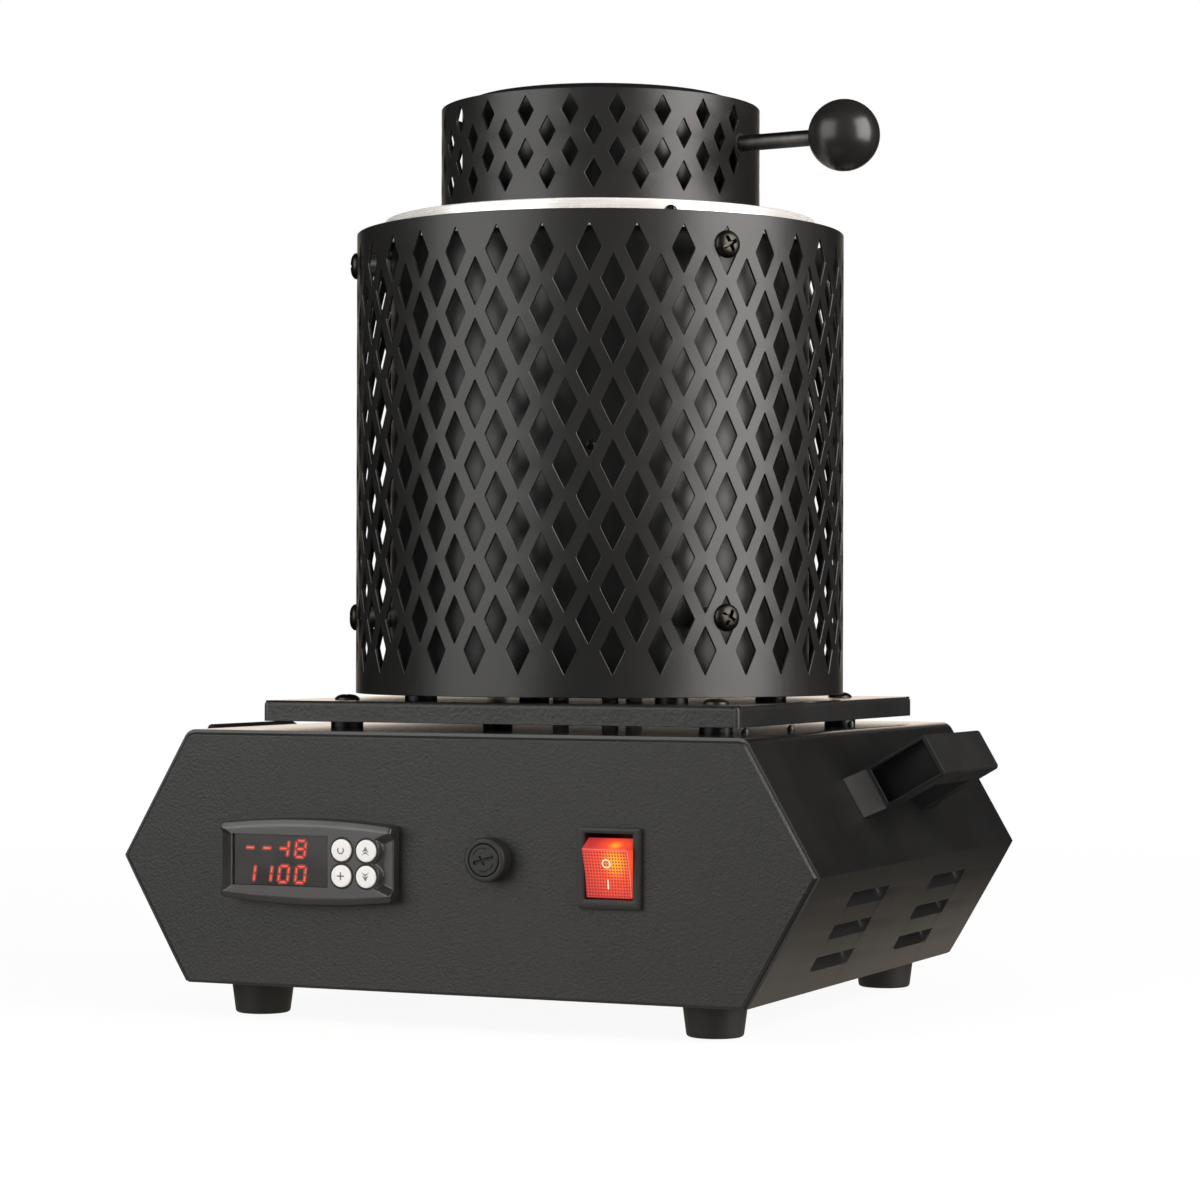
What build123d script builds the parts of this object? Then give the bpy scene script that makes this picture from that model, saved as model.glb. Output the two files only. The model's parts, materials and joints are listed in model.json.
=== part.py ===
"""Electric gold melting furnace: a six-sided control box carries a round furnace body and a swing lid.

Millimetres. X runs to the right, Y to the back and Z up. The origin is the centre of the control box at
the plane that the rubber feet stand on.
"""

import math
import os

from build123d import *

os.makedirs("parts", exist_ok=True)

# ---------------------------------------------------------------- driving dimensions
SHEET = 1.2  # folded sheet steel of the control box

# control box: a hexagon seen from the front, with both slopes 30 degrees off the vertical
BOX_DEPTH = 250.0
BOX_TIP_HALF = 148.75  # half width over the side tips
BOX_LOW = 13.3  # underside, on top of the feet
BOX_HIGH = 113.9
SLOPE = 30.0
BEND = 4.5  # outer bend between the top and a slope
PANEL = 1.5  # front and rear panel plate

# feet
FOOT_X, FOOT_Y = 98.8, 100.0
FOOT_TOP_R, FOOT_TAPER = 12.7, 7.0

# carry handles, on the upper slopes
HANDLE_HALF = 36.0  # half length of the grip
HANDLE_FOOT = 10.0  # how far a leg's toe runs out past the grip
HANDLE_WIDE = 18.0  # across the slope
HANDLE_OUT = 36.7  # how far the grip stands off the slope, 340 over both grips
GRIP = 10.5
TOE_HIGH = 8.6  # height of the ledge where a leg turns into its toe
MOULDING = 1.6  # wall round the hollow in each end

# louvres, on the lower slopes
LOUVRE_LONG, LOUVRE_TALL, LOUVRE_DEEP = 45.0, 7.2, 4.6
LOUVRE_PITCH = 14.8
LOUVRE_FIRST = 13.6  # first row's centre, down the slope from the tip
LOUVRE_Y = 50.0

# controls on the front panel
CONTROLLER_X, CONTROLLER_Z = -62.6, 63.8
BEZEL_WIDE, BEZEL_TALL, BEZEL_END = 76.6, 34.0, 29.6
BEZEL_DEEP = 8.0
WINDOW_X, WINDOW_Z = -73.1, 64.2
WINDOW_WIDE, WINDOW_TALL = 42.8, 20.2
BUTTON_X = (-45.4, -34.5)
BUTTON_Z = (69.0, 58.9)
BUTTON_R = 4.35
BUTTON_PROUD = 1.0
BUTTON_TRAVEL = 1.2
WELL = 2.6  # depth of the window's recess and of the buttons' wells
FUSE_X, FUSE_Z = 15.6, 66.8
FUSE_COLLAR_R, FUSE_NECK_R, FUSE_OUT = 8.6, 6.4, 7.0
FUSE_CAP_R, FUSE_CAP_DEEP = 6.2, 3.0
FUSE_R, FUSE_LONG = 2.6, 20.0
SWITCH_X, SWITCH_Z = 65.8, 64.8
SWITCH_WIDE, SWITCH_TALL = 26.2, 31.0
SWITCH_OUT = 2.0
ROCKER_WIDE, ROCKER_TALL = 19.0, 20.0
ROCKER_PIVOT_Y = -121.5
ROCKER_TILT = 14.0  # each way from level; the lower half is pressed in at rest
INLET_X, INLET_Z = -60.0, 63.6
INLET_OUT, INLET_DEEP = 3.4, 18.0

# support plate under the furnace body
AXIS_Y = 14.5  # the furnace axis, behind the middle of the box
PLATE_WIDE, PLATE_DEEP = 209.0, 210.0
PLATE_LOW, PLATE_TOP = 117.5, 125.9
PLATE_SHEET = 1.5
BOLT_X, BOLT_Y = 82.5, 73.2  # half spacings of the four corner bolts
SPACER_R = 6.75

# furnace body
CASING_R, CASING_LOW = 89.0, 129.4
RING_R, RING_TOP, RING_SKIRT = 92.0, 328.3, 12.0
RING_SCREW = 41.5  # angle from the front of the first of its three screws
MOUTH_R = 36.0  # hole in the top ring
GUARD_R, GUARD_LOW, GUARD_HIGH = 103.55, 128.9, 322.7
GUARD_SHEET = 1.0
COLUMNS, ROWS = 34, 14
ROW_TOP, ROW_PITCH = 307.3, 12.31
DIAMOND_WIDE, DIAMOND_TALL = 9.4, 19.8
SCREW_COLUMNS = (5, 16, 28)
SCREW_HEIGHTS = (309.8, 160.5)
SCREW_R, SCREW_HIGH = 5.6, 2.8
MUFFLE_R, MUFFLE_BORE = 38.0, 32.5
CRUCIBLE_LOW, CRUCIBLE_HIGH = 205.0, 317.0
CRUCIBLE_R, CRUCIBLE_WALL, CRUCIBLE_FLOOR, CRUCIBLE_TAPER = 30.5, 5.5, 8.0, 2.8
LEAD_X, LEAD_R = (5.0, 16.0), 3.5  # heater leads in their ceramic sleeves
PROBE_X = -18.0
LEAD_SLOT = (44.0, 9.0)  # opening that the leads and the probe share in each sheet

# lid
LID_R, LID_LOW, LID_HIGH = 67.8, 328.8, 376.4
LID_SHEET = 1.0
LID_CAN_R, LID_CAN_TOP = 59.0, 380.0
LID_ROW_TOP, LID_ROW_PITCH, LID_ROWS = 367.7, 8.73, 4
LID_COLUMNS = 22  # pitches round the wall, some left blank at its seam
LID_FACING = -3.4  # angle from the front of the first column
LID_FIRST, LID_LAST = -14, 5  # columns on either side of the blank strip
LID_DIAMOND_WIDE, LID_DIAMOND_TALL = 7.2, 12.4
ROD_ANGLE, ROD_Z, ROD_R = 82.7, 358.0, 3.35
KNOB_REACH, KNOB_R = 116.0, 14.75
KNOB_EDGES = [math.radians(a) for a in (14, 42, 70)]  # edges between the bands that make up the ball
PIVOT_REACH, PIVOT_R, SLEEVE = 80.0, 4.0, 24.0

# round pieces are many-sided, with fewer sides on the small ones
SMALL, MIDDLE, LARGE = 8, 14, 34
RING_SIDES = 36

# ---------------------------------------------------------------- derived values
TAN, COS = math.tan(math.radians(SLOPE)), math.cos(math.radians(SLOPE))
SIN = math.sin(math.radians(SLOPE))
BOX_HALF = (BOX_HIGH - BOX_LOW) / 2
TIP_Z = (BOX_HIGH + BOX_LOW) / 2
FRONT, REAR = -BOX_DEPTH / 2, BOX_DEPTH / 2
COVER_HALF = BOX_DEPTH / 2 - PANEL
KNOB_FLAT = KNOB_R * math.cos(KNOB_EDGES[0])


def many_sided(radius, sides, facing=0, mode=Mode.ADD):
    """Round outline as a polygon whose flats stand at the radius, one of them facing an angle."""
    RegularPolygon(radius, sides, major_radius=False, rotation=facing - 90 - 180 / sides, mode=mode)


def diamond(wide, tall):
    """Upright diamond on its own centre."""
    Polygon((0, tall / 2), (-wide / 2, 0), (0, -tall / 2), (wide / 2, 0), align=None)


def pan(outer):
    """Panel plate behind a plane that faces out of the box, with a flange inside the cover."""
    inner = outer.offset(-PANEL)
    extrude(box_outline(inner, 0, bend=BEND), amount=PANEL)
    rim = box_outline(inner, SHEET + 0.6, 2 * PANEL)
    extrude(rim - box_outline(inner, 2 * SHEET + 0.6, 2 * PANEL + SHEET), amount=-10)


def lead_slot(top):
    """Cut the slot that the heater leads and the probe share through the sheet that ends at a height."""
    with BuildSketch(level(top)) as slot:
        with Locations(((LEAD_X[1] + PROBE_X) / 2, 0)):
            Rectangle(*LEAD_SLOT)
    extrude(slot.sketch, amount=-2, mode=Mode.SUBTRACT)


def finish(piece, label):
    """Name a finished piece and write its own STEP file."""
    piece.part.label = label
    export_step(piece.part, f"parts/{label}.step")


def facing_front(y):
    """Sketch plane across the box: local x is X, local y is Z from the tips' height, and it faces -Y."""
    return Plane(origin=(0, y, TIP_Z), x_dir=(1, 0, 0), z_dir=(0, -1, 0))


def facing_back(y):
    """The same seen from behind: local x is -X, and it faces +Y."""
    return Plane(origin=(0, y, TIP_Z), x_dir=(-1, 0, 0), z_dir=(0, 1, 0))


def across(x, y, z):
    """Plane that faces -Y with its origin at a point, for round work on the front panel."""
    return Plane(origin=(x, y, z), x_dir=(1, 0, 0), z_dir=(0, -1, 0))


def box_outline(plane, inset, rise=0.0, bend=0.0):
    """Hexagon moved in from the box's outside, with its foot raised and its two top bends rounded."""
    tip, top, low = BOX_TIP_HALF - inset / COS, BOX_HALF - inset, rise - BOX_HALF
    low_half, top_half = tip + low * TAN, tip - top * TAN
    with BuildSketch(plane) as outline:
        Polygon(
            (-low_half, low), (low_half, low), (tip, 0),
            (top_half, top), (-top_half, top), (-tip, 0),
            align=None,
        )
        if bend:
            fillet(outline.vertices().group_by(Axis.Y)[-1], bend)
    return outline.sketch


def slope_plane(side, down, y):
    """Profile plane on a lower slope: local x climbs the slope and local y points out of the box."""
    climb, out = Vector(SIN * side, 0, COS), Vector(COS * side, 0, -SIN)
    tip = Vector(BOX_TIP_HALF * side, y, TIP_Z)
    return Plane(origin=tip - climb * down, x_dir=climb, z_dir=climb.cross(out))


def turned(angle, reach, z):
    """Point at an angle from the front (-Y) towards +X, at a distance from the furnace axis."""
    a = math.radians(angle)
    return (reach * math.sin(a), AXIS_Y - reach * math.cos(a), z)


def radial(angle, reach, z):
    """Plane that faces away from the furnace axis at that angle, with local y up."""
    a = math.radians(angle)
    return Plane(
        origin=turned(angle, reach, z),
        x_dir=(math.cos(a), math.sin(a), 0),
        z_dir=(math.sin(a), -math.cos(a), 0),
    )


def level(z):
    """Level sketch plane centred on the furnace axis."""
    return Plane(origin=(0, AXIS_Y, z), x_dir=(1, 0, 0), z_dir=(0, 0, 1))


# ---------------------------------------------------------------- control box
with BuildPart() as base_cover:
    # one sheet folded round the top, both slopes and two narrow flanges under them
    extrude(box_outline(facing_front(COVER_HALF), 0, PANEL, BEND), amount=2 * COVER_HALF)
    inside = box_outline(facing_front(COVER_HALF), SHEET, PANEL + SHEET, BEND - SHEET)
    extrude(inside, amount=2 * COVER_HALF, mode=Mode.SUBTRACT)
    with BuildSketch(Plane.XY.offset(BOX_LOW)):
        Rectangle(208, 2 * COVER_HALF)
    extrude(amount=8, mode=Mode.SUBTRACT)
    # pressed louvres: a vane leaves the sheet at its foot and runs inwards to an open slot at its head
    louvres = [
        slope_plane(side, LOUVRE_FIRST + row * LOUVRE_PITCH, y)
        for side in (1, -1)
        for row in range(3)
        for y in (-LOUVRE_Y, LOUVRE_Y)
    ]
    foot, head = -LOUVRE_TALL / 2, LOUVRE_TALL / 2
    with BuildSketch(*louvres):
        Polygon((foot - 2, -SHEET / 2), (head, -LOUVRE_DEEP - SHEET), (head, -SHEET / 2), align=None)
    extrude(amount=LOUVRE_LONG / 2 + 1, both=True)
    with BuildSketch(*louvres):
        Polygon((foot, 0), (foot, 1), (head, 1), (head, -LOUVRE_DEEP), align=None)
    extrude(amount=LOUVRE_LONG / 2, both=True, mode=Mode.SUBTRACT)
    lead_slot(BOX_HIGH)
finish(base_cover, "base_cover")

with BuildPart() as front_panel:
    pan(facing_front(FRONT))
    chamfer(front_panel.faces().sort_by(Axis.Y)[0].edges(), 1.0)
    with BuildSketch(Plane.XZ.offset(-FRONT)):
        with Locations((CONTROLLER_X, CONTROLLER_Z)):
            Rectangle(71, 29)
        with Locations((SWITCH_X, SWITCH_Z)):
            Rectangle(22.2, 28.2)
        with Locations((FUSE_X, FUSE_Z)):
            RegularPolygon(FUSE_NECK_R + 0.1, MIDDLE)
    extrude(amount=-PANEL, mode=Mode.SUBTRACT)
finish(front_panel, "front_panel")

with BuildPart() as rear_panel:
    pan(facing_back(REAR))
    chamfer(rear_panel.faces().sort_by(Axis.Y)[-1].edges(), 1.0)
    # inlet cut-out and a row of cooling slots
    with BuildSketch(Plane.XZ.offset(-REAR)):
        with Locations((INLET_X, INLET_Z)):
            Rectangle(27.6, 20.4)
        with Locations((48, TIP_Z)):
            with GridLocations(9, 0, 6, 1):
                Rectangle(3.4, 44)
    extrude(amount=PANEL, mode=Mode.SUBTRACT)
finish(rear_panel, "rear_panel")

with BuildPart() as bottom_plate:
    with BuildSketch(Plane.XY.offset(BOX_LOW)):
        Rectangle(241, 2 * COVER_HALF)
    extrude(amount=PANEL)
finish(bottom_plate, "bottom_plate")

with BuildPart() as rubber_feet:
    with BuildSketch():
        with GridLocations(2 * FOOT_X, 2 * FOOT_Y, 2, 2):
            RegularPolygon(FOOT_TOP_R, MIDDLE)
    extrude(amount=BOX_LOW, taper=FOOT_TAPER)
    mirror(about=Plane.XY.offset(BOX_LOW / 2), mode=Mode.REPLACE)
finish(rubber_feet, "rubber_feet")

# ---------------------------------------------------------------- carry handles
toe, grip = HANDLE_HALF + HANDLE_FOOT, HANDLE_HALF
for side, name in ((1, "carry_handle_right"), (-1, "carry_handle_left")):
    # profile plane in the middle of the upper slope: local x runs along Y, local y out of the slope
    outward = Vector(COS * side, 0, SIN)
    seat = (side * (BOX_TIP_HALF - BOX_HALF * TAN / 2), 0, TIP_Z + BOX_HALF / 2)
    bridge = Plane(origin=seat, x_dir=(0, 1, 0), z_dir=Vector(0, 1, 0).cross(outward))
    with BuildPart() as carry_handle:
        with BuildSketch(bridge):
            with BuildLine():
                Polyline(
                    (0, HANDLE_OUT),
                    (grip, HANDLE_OUT),
                    (grip, TOE_HIGH),
                    (toe, 1.5),
                    (toe, 0),
                    (grip - 11, 0),
                    (grip - 14, HANDLE_OUT - GRIP),
                    (0, HANDLE_OUT - GRIP),
                )
                mirror(about=Plane.YZ)
            make_face()
        extrude(amount=HANDLE_WIDE / 2, both=True)
        grip_top = carry_handle.faces().sort_by(Axis(seat, outward))[-1]
        chamfer(grip_top.edges().sort_by(SortBy.LENGTH)[-2:], 1.0)
        # a hollow in each end, with a sloping inner wall down to the screw
        for end in (1, -1):
            with BuildSketch(bridge):
                Polygon(
                    (end * grip, TOE_HIGH + MOULDING),
                    (end * grip, HANDLE_OUT - 2.2),
                    (end * (grip - 3), HANDLE_OUT - 2.2),
                    (end * (grip - 9), 11),
                    (end * (grip - 9), 3.5),
                    (end * (grip - 1.5), 3.5),
                    (end * (grip - 1.5), TOE_HIGH + MOULDING),
                    align=None,
                )
            extrude(amount=HANDLE_WIDE / 2 - MOULDING, both=True, mode=Mode.SUBTRACT)
    finish(carry_handle, name)

# ---------------------------------------------------------------- controller
bezel_left, bezel_right = CONTROLLER_X - BEZEL_WIDE / 2, CONTROLLER_X + BEZEL_WIDE / 2
bezel_face = FRONT - BEZEL_DEEP
with BuildPart() as controller_housing:
    # bezel with bowed long edges and a bevel along the top
    with BuildSketch(across(CONTROLLER_X, FRONT, CONTROLLER_Z)):
        with BuildLine():
            half, end = BEZEL_WIDE / 2, BEZEL_END / 2
            ThreePointArc((-half, end), (0, BEZEL_TALL / 2), (half, end))
            Line((half, end), (half, -end))
            ThreePointArc((half, -end), (0, -BEZEL_TALL / 2), (-half, -end))
            Line((-half, -end), (-half, end))
        make_face()
    extrude(amount=BEZEL_DEEP)
    chamfer(controller_housing.faces().sort_by(Axis.Y)[0].edges().group_by(Axis.Z)[-1], 1.3, 2.4)
    # both ends fall away between the long edges
    with BuildSketch(Plane.XY.offset(CONTROLLER_Z)):
        for end, inner in ((bezel_left, bezel_left + 6), (bezel_right, bezel_right - 5)):
            Polygon((end, bezel_face + 3), (inner, bezel_face), (end, bezel_face), align=None)
    extrude(amount=BEZEL_TALL / 2 - 3.2, both=True, mode=Mode.SUBTRACT)
    # window recess, and a well for each button
    with BuildSketch(Plane.XZ.offset(-bezel_face)):
        with Locations(*[(x, z) for x in BUTTON_X for z in BUTTON_Z]):
            RegularPolygon(BUTTON_R + 0.2, MIDDLE)
        with Locations((WINDOW_X, WINDOW_Z)):
            Rectangle(WINDOW_WIDE, WINDOW_TALL)
    extrude(amount=-WELL, mode=Mode.SUBTRACT)
    # body behind the panel
    with BuildSketch(across(CONTROLLER_X, FRONT, CONTROLLER_Z)):
        Rectangle(70.6, 28.6)
    extrude(amount=-62)
finish(controller_housing, "controller_housing")

with BuildPart() as display_window:
    with BuildSketch(across(WINDOW_X, bezel_face + WELL, WINDOW_Z)):
        Rectangle(WINDOW_WIDE, WINDOW_TALL)
    extrude(amount=WELL - 0.3)
finish(display_window, "display_window")

with BuildPart() as controller_clip:
    # spring frame that holds the body against the back of the panel
    with BuildSketch(across(CONTROLLER_X, FRONT + PANEL, CONTROLLER_Z)):
        Rectangle(77, 35)
        Rectangle(70.8, 28.8, mode=Mode.SUBTRACT)
    extrude(amount=-5)
finish(controller_clip, "controller_clip")

for x, z, name in (
    (BUTTON_X[0], BUTTON_Z[0], "button_menu"),
    (BUTTON_X[1], BUTTON_Z[0], "button_up"),
    (BUTTON_X[0], BUTTON_Z[1], "button_set"),
    (BUTTON_X[1], BUTTON_Z[1], "button_down"),
):
    with BuildPart() as button:
        with BuildSketch(across(x, bezel_face + WELL - BUTTON_TRAVEL - 0.1, z)):
            RegularPolygon(BUTTON_R, MIDDLE)
        extrude(amount=WELL - BUTTON_TRAVEL - 0.1 + BUTTON_PROUD)
    finish(button, name)

# ---------------------------------------------------------------- fuse
with BuildPart() as fuse_holder:
    with BuildSketch(across(FUSE_X, FRONT, FUSE_Z)):
        RegularPolygon(FUSE_COLLAR_R, MIDDLE)
    extrude(amount=FUSE_OUT)
    chamfer(fuse_holder.faces().sort_by(Axis.Y)[0].edges(), 0.7)
    with BuildSketch(across(FUSE_X, FRONT, FUSE_Z)):
        RegularPolygon(FUSE_NECK_R, MIDDLE)
    extrude(amount=-30)
    with BuildSketch(across(FUSE_X, FRONT - FUSE_OUT, FUSE_Z)):
        RegularPolygon(FUSE_CAP_R + 0.1, MIDDLE, major_radius=False)
    extrude(amount=-FUSE_CAP_DEEP, mode=Mode.SUBTRACT)
    with BuildSketch(across(FUSE_X, FRONT - FUSE_OUT + FUSE_CAP_DEEP, FUSE_Z)):
        RegularPolygon(FUSE_R + 0.4, SMALL)
    extrude(amount=-FUSE_LONG - 1, mode=Mode.SUBTRACT)
finish(fuse_holder, "fuse_holder")

with BuildPart() as fuse_nut:
    with BuildSketch(across(FUSE_X, FRONT + PANEL, FUSE_Z)):
        RegularPolygon(10, 6)
        RegularPolygon(FUSE_NECK_R + 0.05, MIDDLE, mode=Mode.SUBTRACT)
    extrude(amount=-4)
finish(fuse_nut, "fuse_nut")

with BuildPart() as fuse_cap:
    with BuildSketch(across(FUSE_X, FRONT - FUSE_OUT - 0.3, FUSE_Z)):
        RegularPolygon(FUSE_CAP_R, MIDDLE)
    extrude(amount=-FUSE_CAP_DEEP - 0.2)
    # screwdriver slot
    with BuildSketch(across(FUSE_X, FRONT - FUSE_OUT - 0.3, FUSE_Z)):
        Rectangle(9.0, 1.1, rotation=16)
    extrude(amount=-1.2, mode=Mode.SUBTRACT)
finish(fuse_cap, "fuse_cap")

with BuildPart() as glass_fuse:
    with BuildSketch(across(FUSE_X, FRONT - FUSE_OUT + FUSE_CAP_DEEP - 0.1, FUSE_Z)):
        RegularPolygon(FUSE_R, SMALL)
    extrude(amount=-FUSE_LONG)
finish(glass_fuse, "glass_fuse")

# ---------------------------------------------------------------- mains switch
with BuildPart() as switch_housing:
    with BuildSketch(across(SWITCH_X, FRONT, SWITCH_Z)):
        Rectangle(SWITCH_WIDE, SWITCH_TALL)
    extrude(amount=SWITCH_OUT)
    chamfer(switch_housing.faces().sort_by(Axis.Y)[0].edges(), 0.6)
    with BuildSketch(across(SWITCH_X, FRONT, SWITCH_Z)):
        Rectangle(22, 28)
    extrude(amount=-24)
    with BuildSketch(across(SWITCH_X, FRONT - SWITCH_OUT, SWITCH_Z)):
        Rectangle(ROCKER_WIDE + 0.9, 25.2)
    extrude(amount=-18, mode=Mode.SUBTRACT)
finish(switch_housing, "switch_housing")

with BuildPart() as switch_rocker:
    # local x points up the rocker and local y out of it, with its lower half pressed in
    tilt = math.radians(ROCKER_TILT)
    rocker_side = Plane(
        origin=(SWITCH_X, ROCKER_PIVOT_Y, SWITCH_Z),
        x_dir=(0, -math.sin(tilt), math.cos(tilt)),
        z_dir=(1, 0, 0),
    )
    with BuildSketch(rocker_side):
        with BuildLine():
            reach = ROCKER_TALL / 2
            Polyline((-reach, 7.5), (-11.4, 0), (-8, -4), (8, -4), (11.4, 0), (reach, 7.5))
            ThreePointArc((reach, 7.5), (0, 6.7), (-reach, 7.5))
        make_face()
    extrude(amount=ROCKER_WIDE / 2, both=True)
finish(switch_rocker, "switch_rocker")

with BuildPart() as switch_terminals:
    with BuildSketch(across(SWITCH_X, FRONT + 24, SWITCH_Z)):
        with GridLocations(12, 14, 2, 2):
            Rectangle(6.3, 0.8)
    extrude(amount=-9)
finish(switch_terminals, "switch_terminals")

# ---------------------------------------------------------------- mains inlet, at the back
with BuildPart() as power_inlet:
    # flange that narrows to its two screws
    with BuildSketch(Plane.XZ.offset(-REAR)):
        with Locations((INLET_X, INLET_Z)):
            Polygon(
                (-25, -5), (-14, -11.2), (14, -11.2), (25, -5),
                (25, 5), (14, 11.2), (-14, 11.2), (-25, 5),
                align=None,
            )
    extrude(amount=-INLET_OUT)
    with BuildSketch(Plane.XZ.offset(-REAR)):
        with Locations((INLET_X, INLET_Z)):
            Rectangle(27.4, 20.2)
    extrude(amount=22)
    # socket with two cut corners
    with BuildSketch(Plane.XZ.offset(-REAR - INLET_OUT)) as socket:
        with Locations((INLET_X, INLET_Z)):
            Rectangle(24.2, 16.6)
        chamfer(socket.vertices().group_by(Axis.Y)[-1], 4)
    extrude(amount=INLET_DEEP, mode=Mode.SUBTRACT)
finish(power_inlet, "power_inlet")

with BuildPart() as inlet_pins:
    with BuildSketch(Plane.XZ.offset(-REAR - INLET_OUT + INLET_DEEP)):
        with Locations((INLET_X - 7, INLET_Z - 2), (INLET_X + 7, INLET_Z - 2), (INLET_X, INLET_Z + 2)):
            Rectangle(2, 4)
    extrude(amount=-15)
finish(inlet_pins, "inlet_pins")

with BuildPart() as inlet_screws:
    with BuildSketch(Plane.XZ.offset(-REAR - INLET_OUT)):
        with Locations((INLET_X - 20, INLET_Z), (INLET_X + 20, INLET_Z)):
            RegularPolygon(2.8, SMALL)
    extrude(amount=-1.4)
finish(inlet_screws, "inlet_screws")

# ---------------------------------------------------------------- inside the control box
with BuildPart() as heat_sink:
    with BuildSketch(Plane.XZ.offset(-100)):
        with Locations((0, BOX_LOW + PANEL)):
            Rectangle(90, 5, align=(Align.CENTER, Align.MIN))
        with Locations((0, BOX_LOW + PANEL + 4)):
            with GridLocations(14, 0, 7, 1):
                Rectangle(1.8, 22, align=(Align.CENTER, Align.MIN))
    extrude(amount=50)
finish(heat_sink, "heat_sink")

with BuildPart() as solid_state_relay:
    with BuildSketch(Plane.XY.offset(BOX_LOW + PANEL)):
        with Locations((0, 10)):
            Rectangle(45, 58)
    extrude(amount=23)
    with BuildSketch(Plane.XY.offset(BOX_LOW + PANEL + 23)):
        with Locations((0, 10)):
            with GridLocations(26, 46, 2, 2):
                Rectangle(9, 9)
    extrude(amount=-7, mode=Mode.SUBTRACT)
finish(solid_state_relay, "solid_state_relay")

with BuildPart() as terminal_bracket:
    # angle strip under the right edge of the top
    with BuildSketch(Plane.XZ.offset(72)):
        with Locations((90, BOX_HIGH - SHEET)):
            Rectangle(14, 1.5, align=(Align.MIN, Align.MAX))
            Rectangle(1.5, 25, align=(Align.MIN, Align.MAX))
    extrude(amount=-136)
finish(terminal_bracket, "terminal_bracket")

with BuildPart() as terminal_block:
    with BuildSketch(Plane.YZ.offset(90)):
        with Locations((10, BOX_HIGH - 18)):
            Rectangle(60, 14)
    extrude(amount=-18)
    with BuildSketch(Plane.YZ.offset(72)):
        with Locations((10, BOX_HIGH - 18)):
            with GridLocations(14, 0, 4, 1):
                Rectangle(9, 8)
    extrude(amount=5, mode=Mode.SUBTRACT)
finish(terminal_block, "terminal_block")

with BuildPart() as bracket_screws:
    # tips of three self-tapping screws that stand out of the top
    with BuildSketch(Plane.XY.offset(BOX_HIGH)):
        with Locations((97, -64), (97.5, -14), (98, 58)):
            RegularPolygon(2.0, 6)
    extrude(amount=3.2, taper=18)
finish(bracket_screws, "bracket_screws")

# ---------------------------------------------------------------- support plate
with BuildPart() as support_plate:
    with BuildSketch(level(PLATE_LOW)):
        Rectangle(PLATE_WIDE, PLATE_DEEP)
        # relief notch where two flanges meet
        with GridLocations(PLATE_WIDE, PLATE_DEEP, 2, 2):
            Rectangle(5, 5, mode=Mode.SUBTRACT)
    extrude(amount=PLATE_TOP - PLATE_LOW)
    fillet(support_plate.faces().sort_by(Axis.Z)[-1].edges().sort_by(SortBy.LENGTH)[-4:], 2.0)
    with BuildSketch(level(PLATE_LOW)):
        Rectangle(PLATE_WIDE - 2 * PLATE_SHEET, PLATE_DEEP - 2 * PLATE_SHEET)
    extrude(amount=PLATE_TOP - PLATE_LOW - PLATE_SHEET, mode=Mode.SUBTRACT)
    lead_slot(PLATE_TOP)
finish(support_plate, "support_plate")

with BuildPart() as plate_spacers:
    with BuildSketch(level(BOX_HIGH)):
        with GridLocations(2 * BOLT_X, 2 * BOLT_Y, 2, 2):
            RegularPolygon(SPACER_R, MIDDLE)
    extrude(amount=PLATE_TOP - PLATE_SHEET - BOX_HIGH)
finish(plate_spacers, "plate_spacers")

with BuildPart() as plate_bolts:
    # domed heads on the plate
    with BuildSketch(level(PLATE_TOP)):
        with GridLocations(2 * BOLT_X, 2 * BOLT_Y, 2, 2):
            RegularPolygon(4.4, MIDDLE)
    extrude(amount=2.6, taper=38)
finish(plate_bolts, "plate_bolts")

with BuildPart() as body_spacers:
    with BuildSketch(level(PLATE_TOP)):
        with PolarLocations(80, 4, 45):
            RegularPolygon(SPACER_R, SMALL)
    extrude(amount=CASING_LOW - PLATE_TOP)
finish(body_spacers, "body_spacers")

# ---------------------------------------------------------------- furnace body
with BuildPart() as casing:
    with BuildSketch(level(CASING_LOW)):
        many_sided(CASING_R, LARGE)
    extrude(amount=RING_TOP - SHEET - CASING_LOW)
    with BuildSketch(level(CASING_LOW + SHEET)):
        many_sided(CASING_R - SHEET, LARGE)
    extrude(amount=RING_TOP - CASING_LOW, mode=Mode.SUBTRACT)
    lead_slot(CASING_LOW + SHEET)
finish(casing, "casing")

with BuildPart() as casing_rivet:
    with BuildSketch(radial(21.2, CASING_R, 229.5)):
        RegularPolygon(1.8, SMALL)
    extrude(amount=0.9)
finish(casing_rivet, "casing_rivet")

with BuildPart() as top_ring:
    with BuildSketch(level(RING_TOP)):
        many_sided(RING_R, RING_SIDES, RING_SCREW)
        RegularPolygon(MOUTH_R, MIDDLE, mode=Mode.SUBTRACT)
    extrude(amount=-RING_SKIRT)
    with BuildSketch(level(RING_TOP - SHEET)):
        many_sided(RING_R - SHEET, RING_SIDES, RING_SCREW)
    extrude(amount=-RING_SKIRT, mode=Mode.SUBTRACT)
finish(top_ring, "top_ring")

with BuildPart() as ring_screws:
    with BuildSketch(*[radial(RING_SCREW + turn, RING_R, RING_TOP - 5) for turn in (0, 120, 240)]):
        RegularPolygon(2.6, SMALL)
    extrude(amount=2)
finish(ring_screws, "ring_screws")

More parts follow.
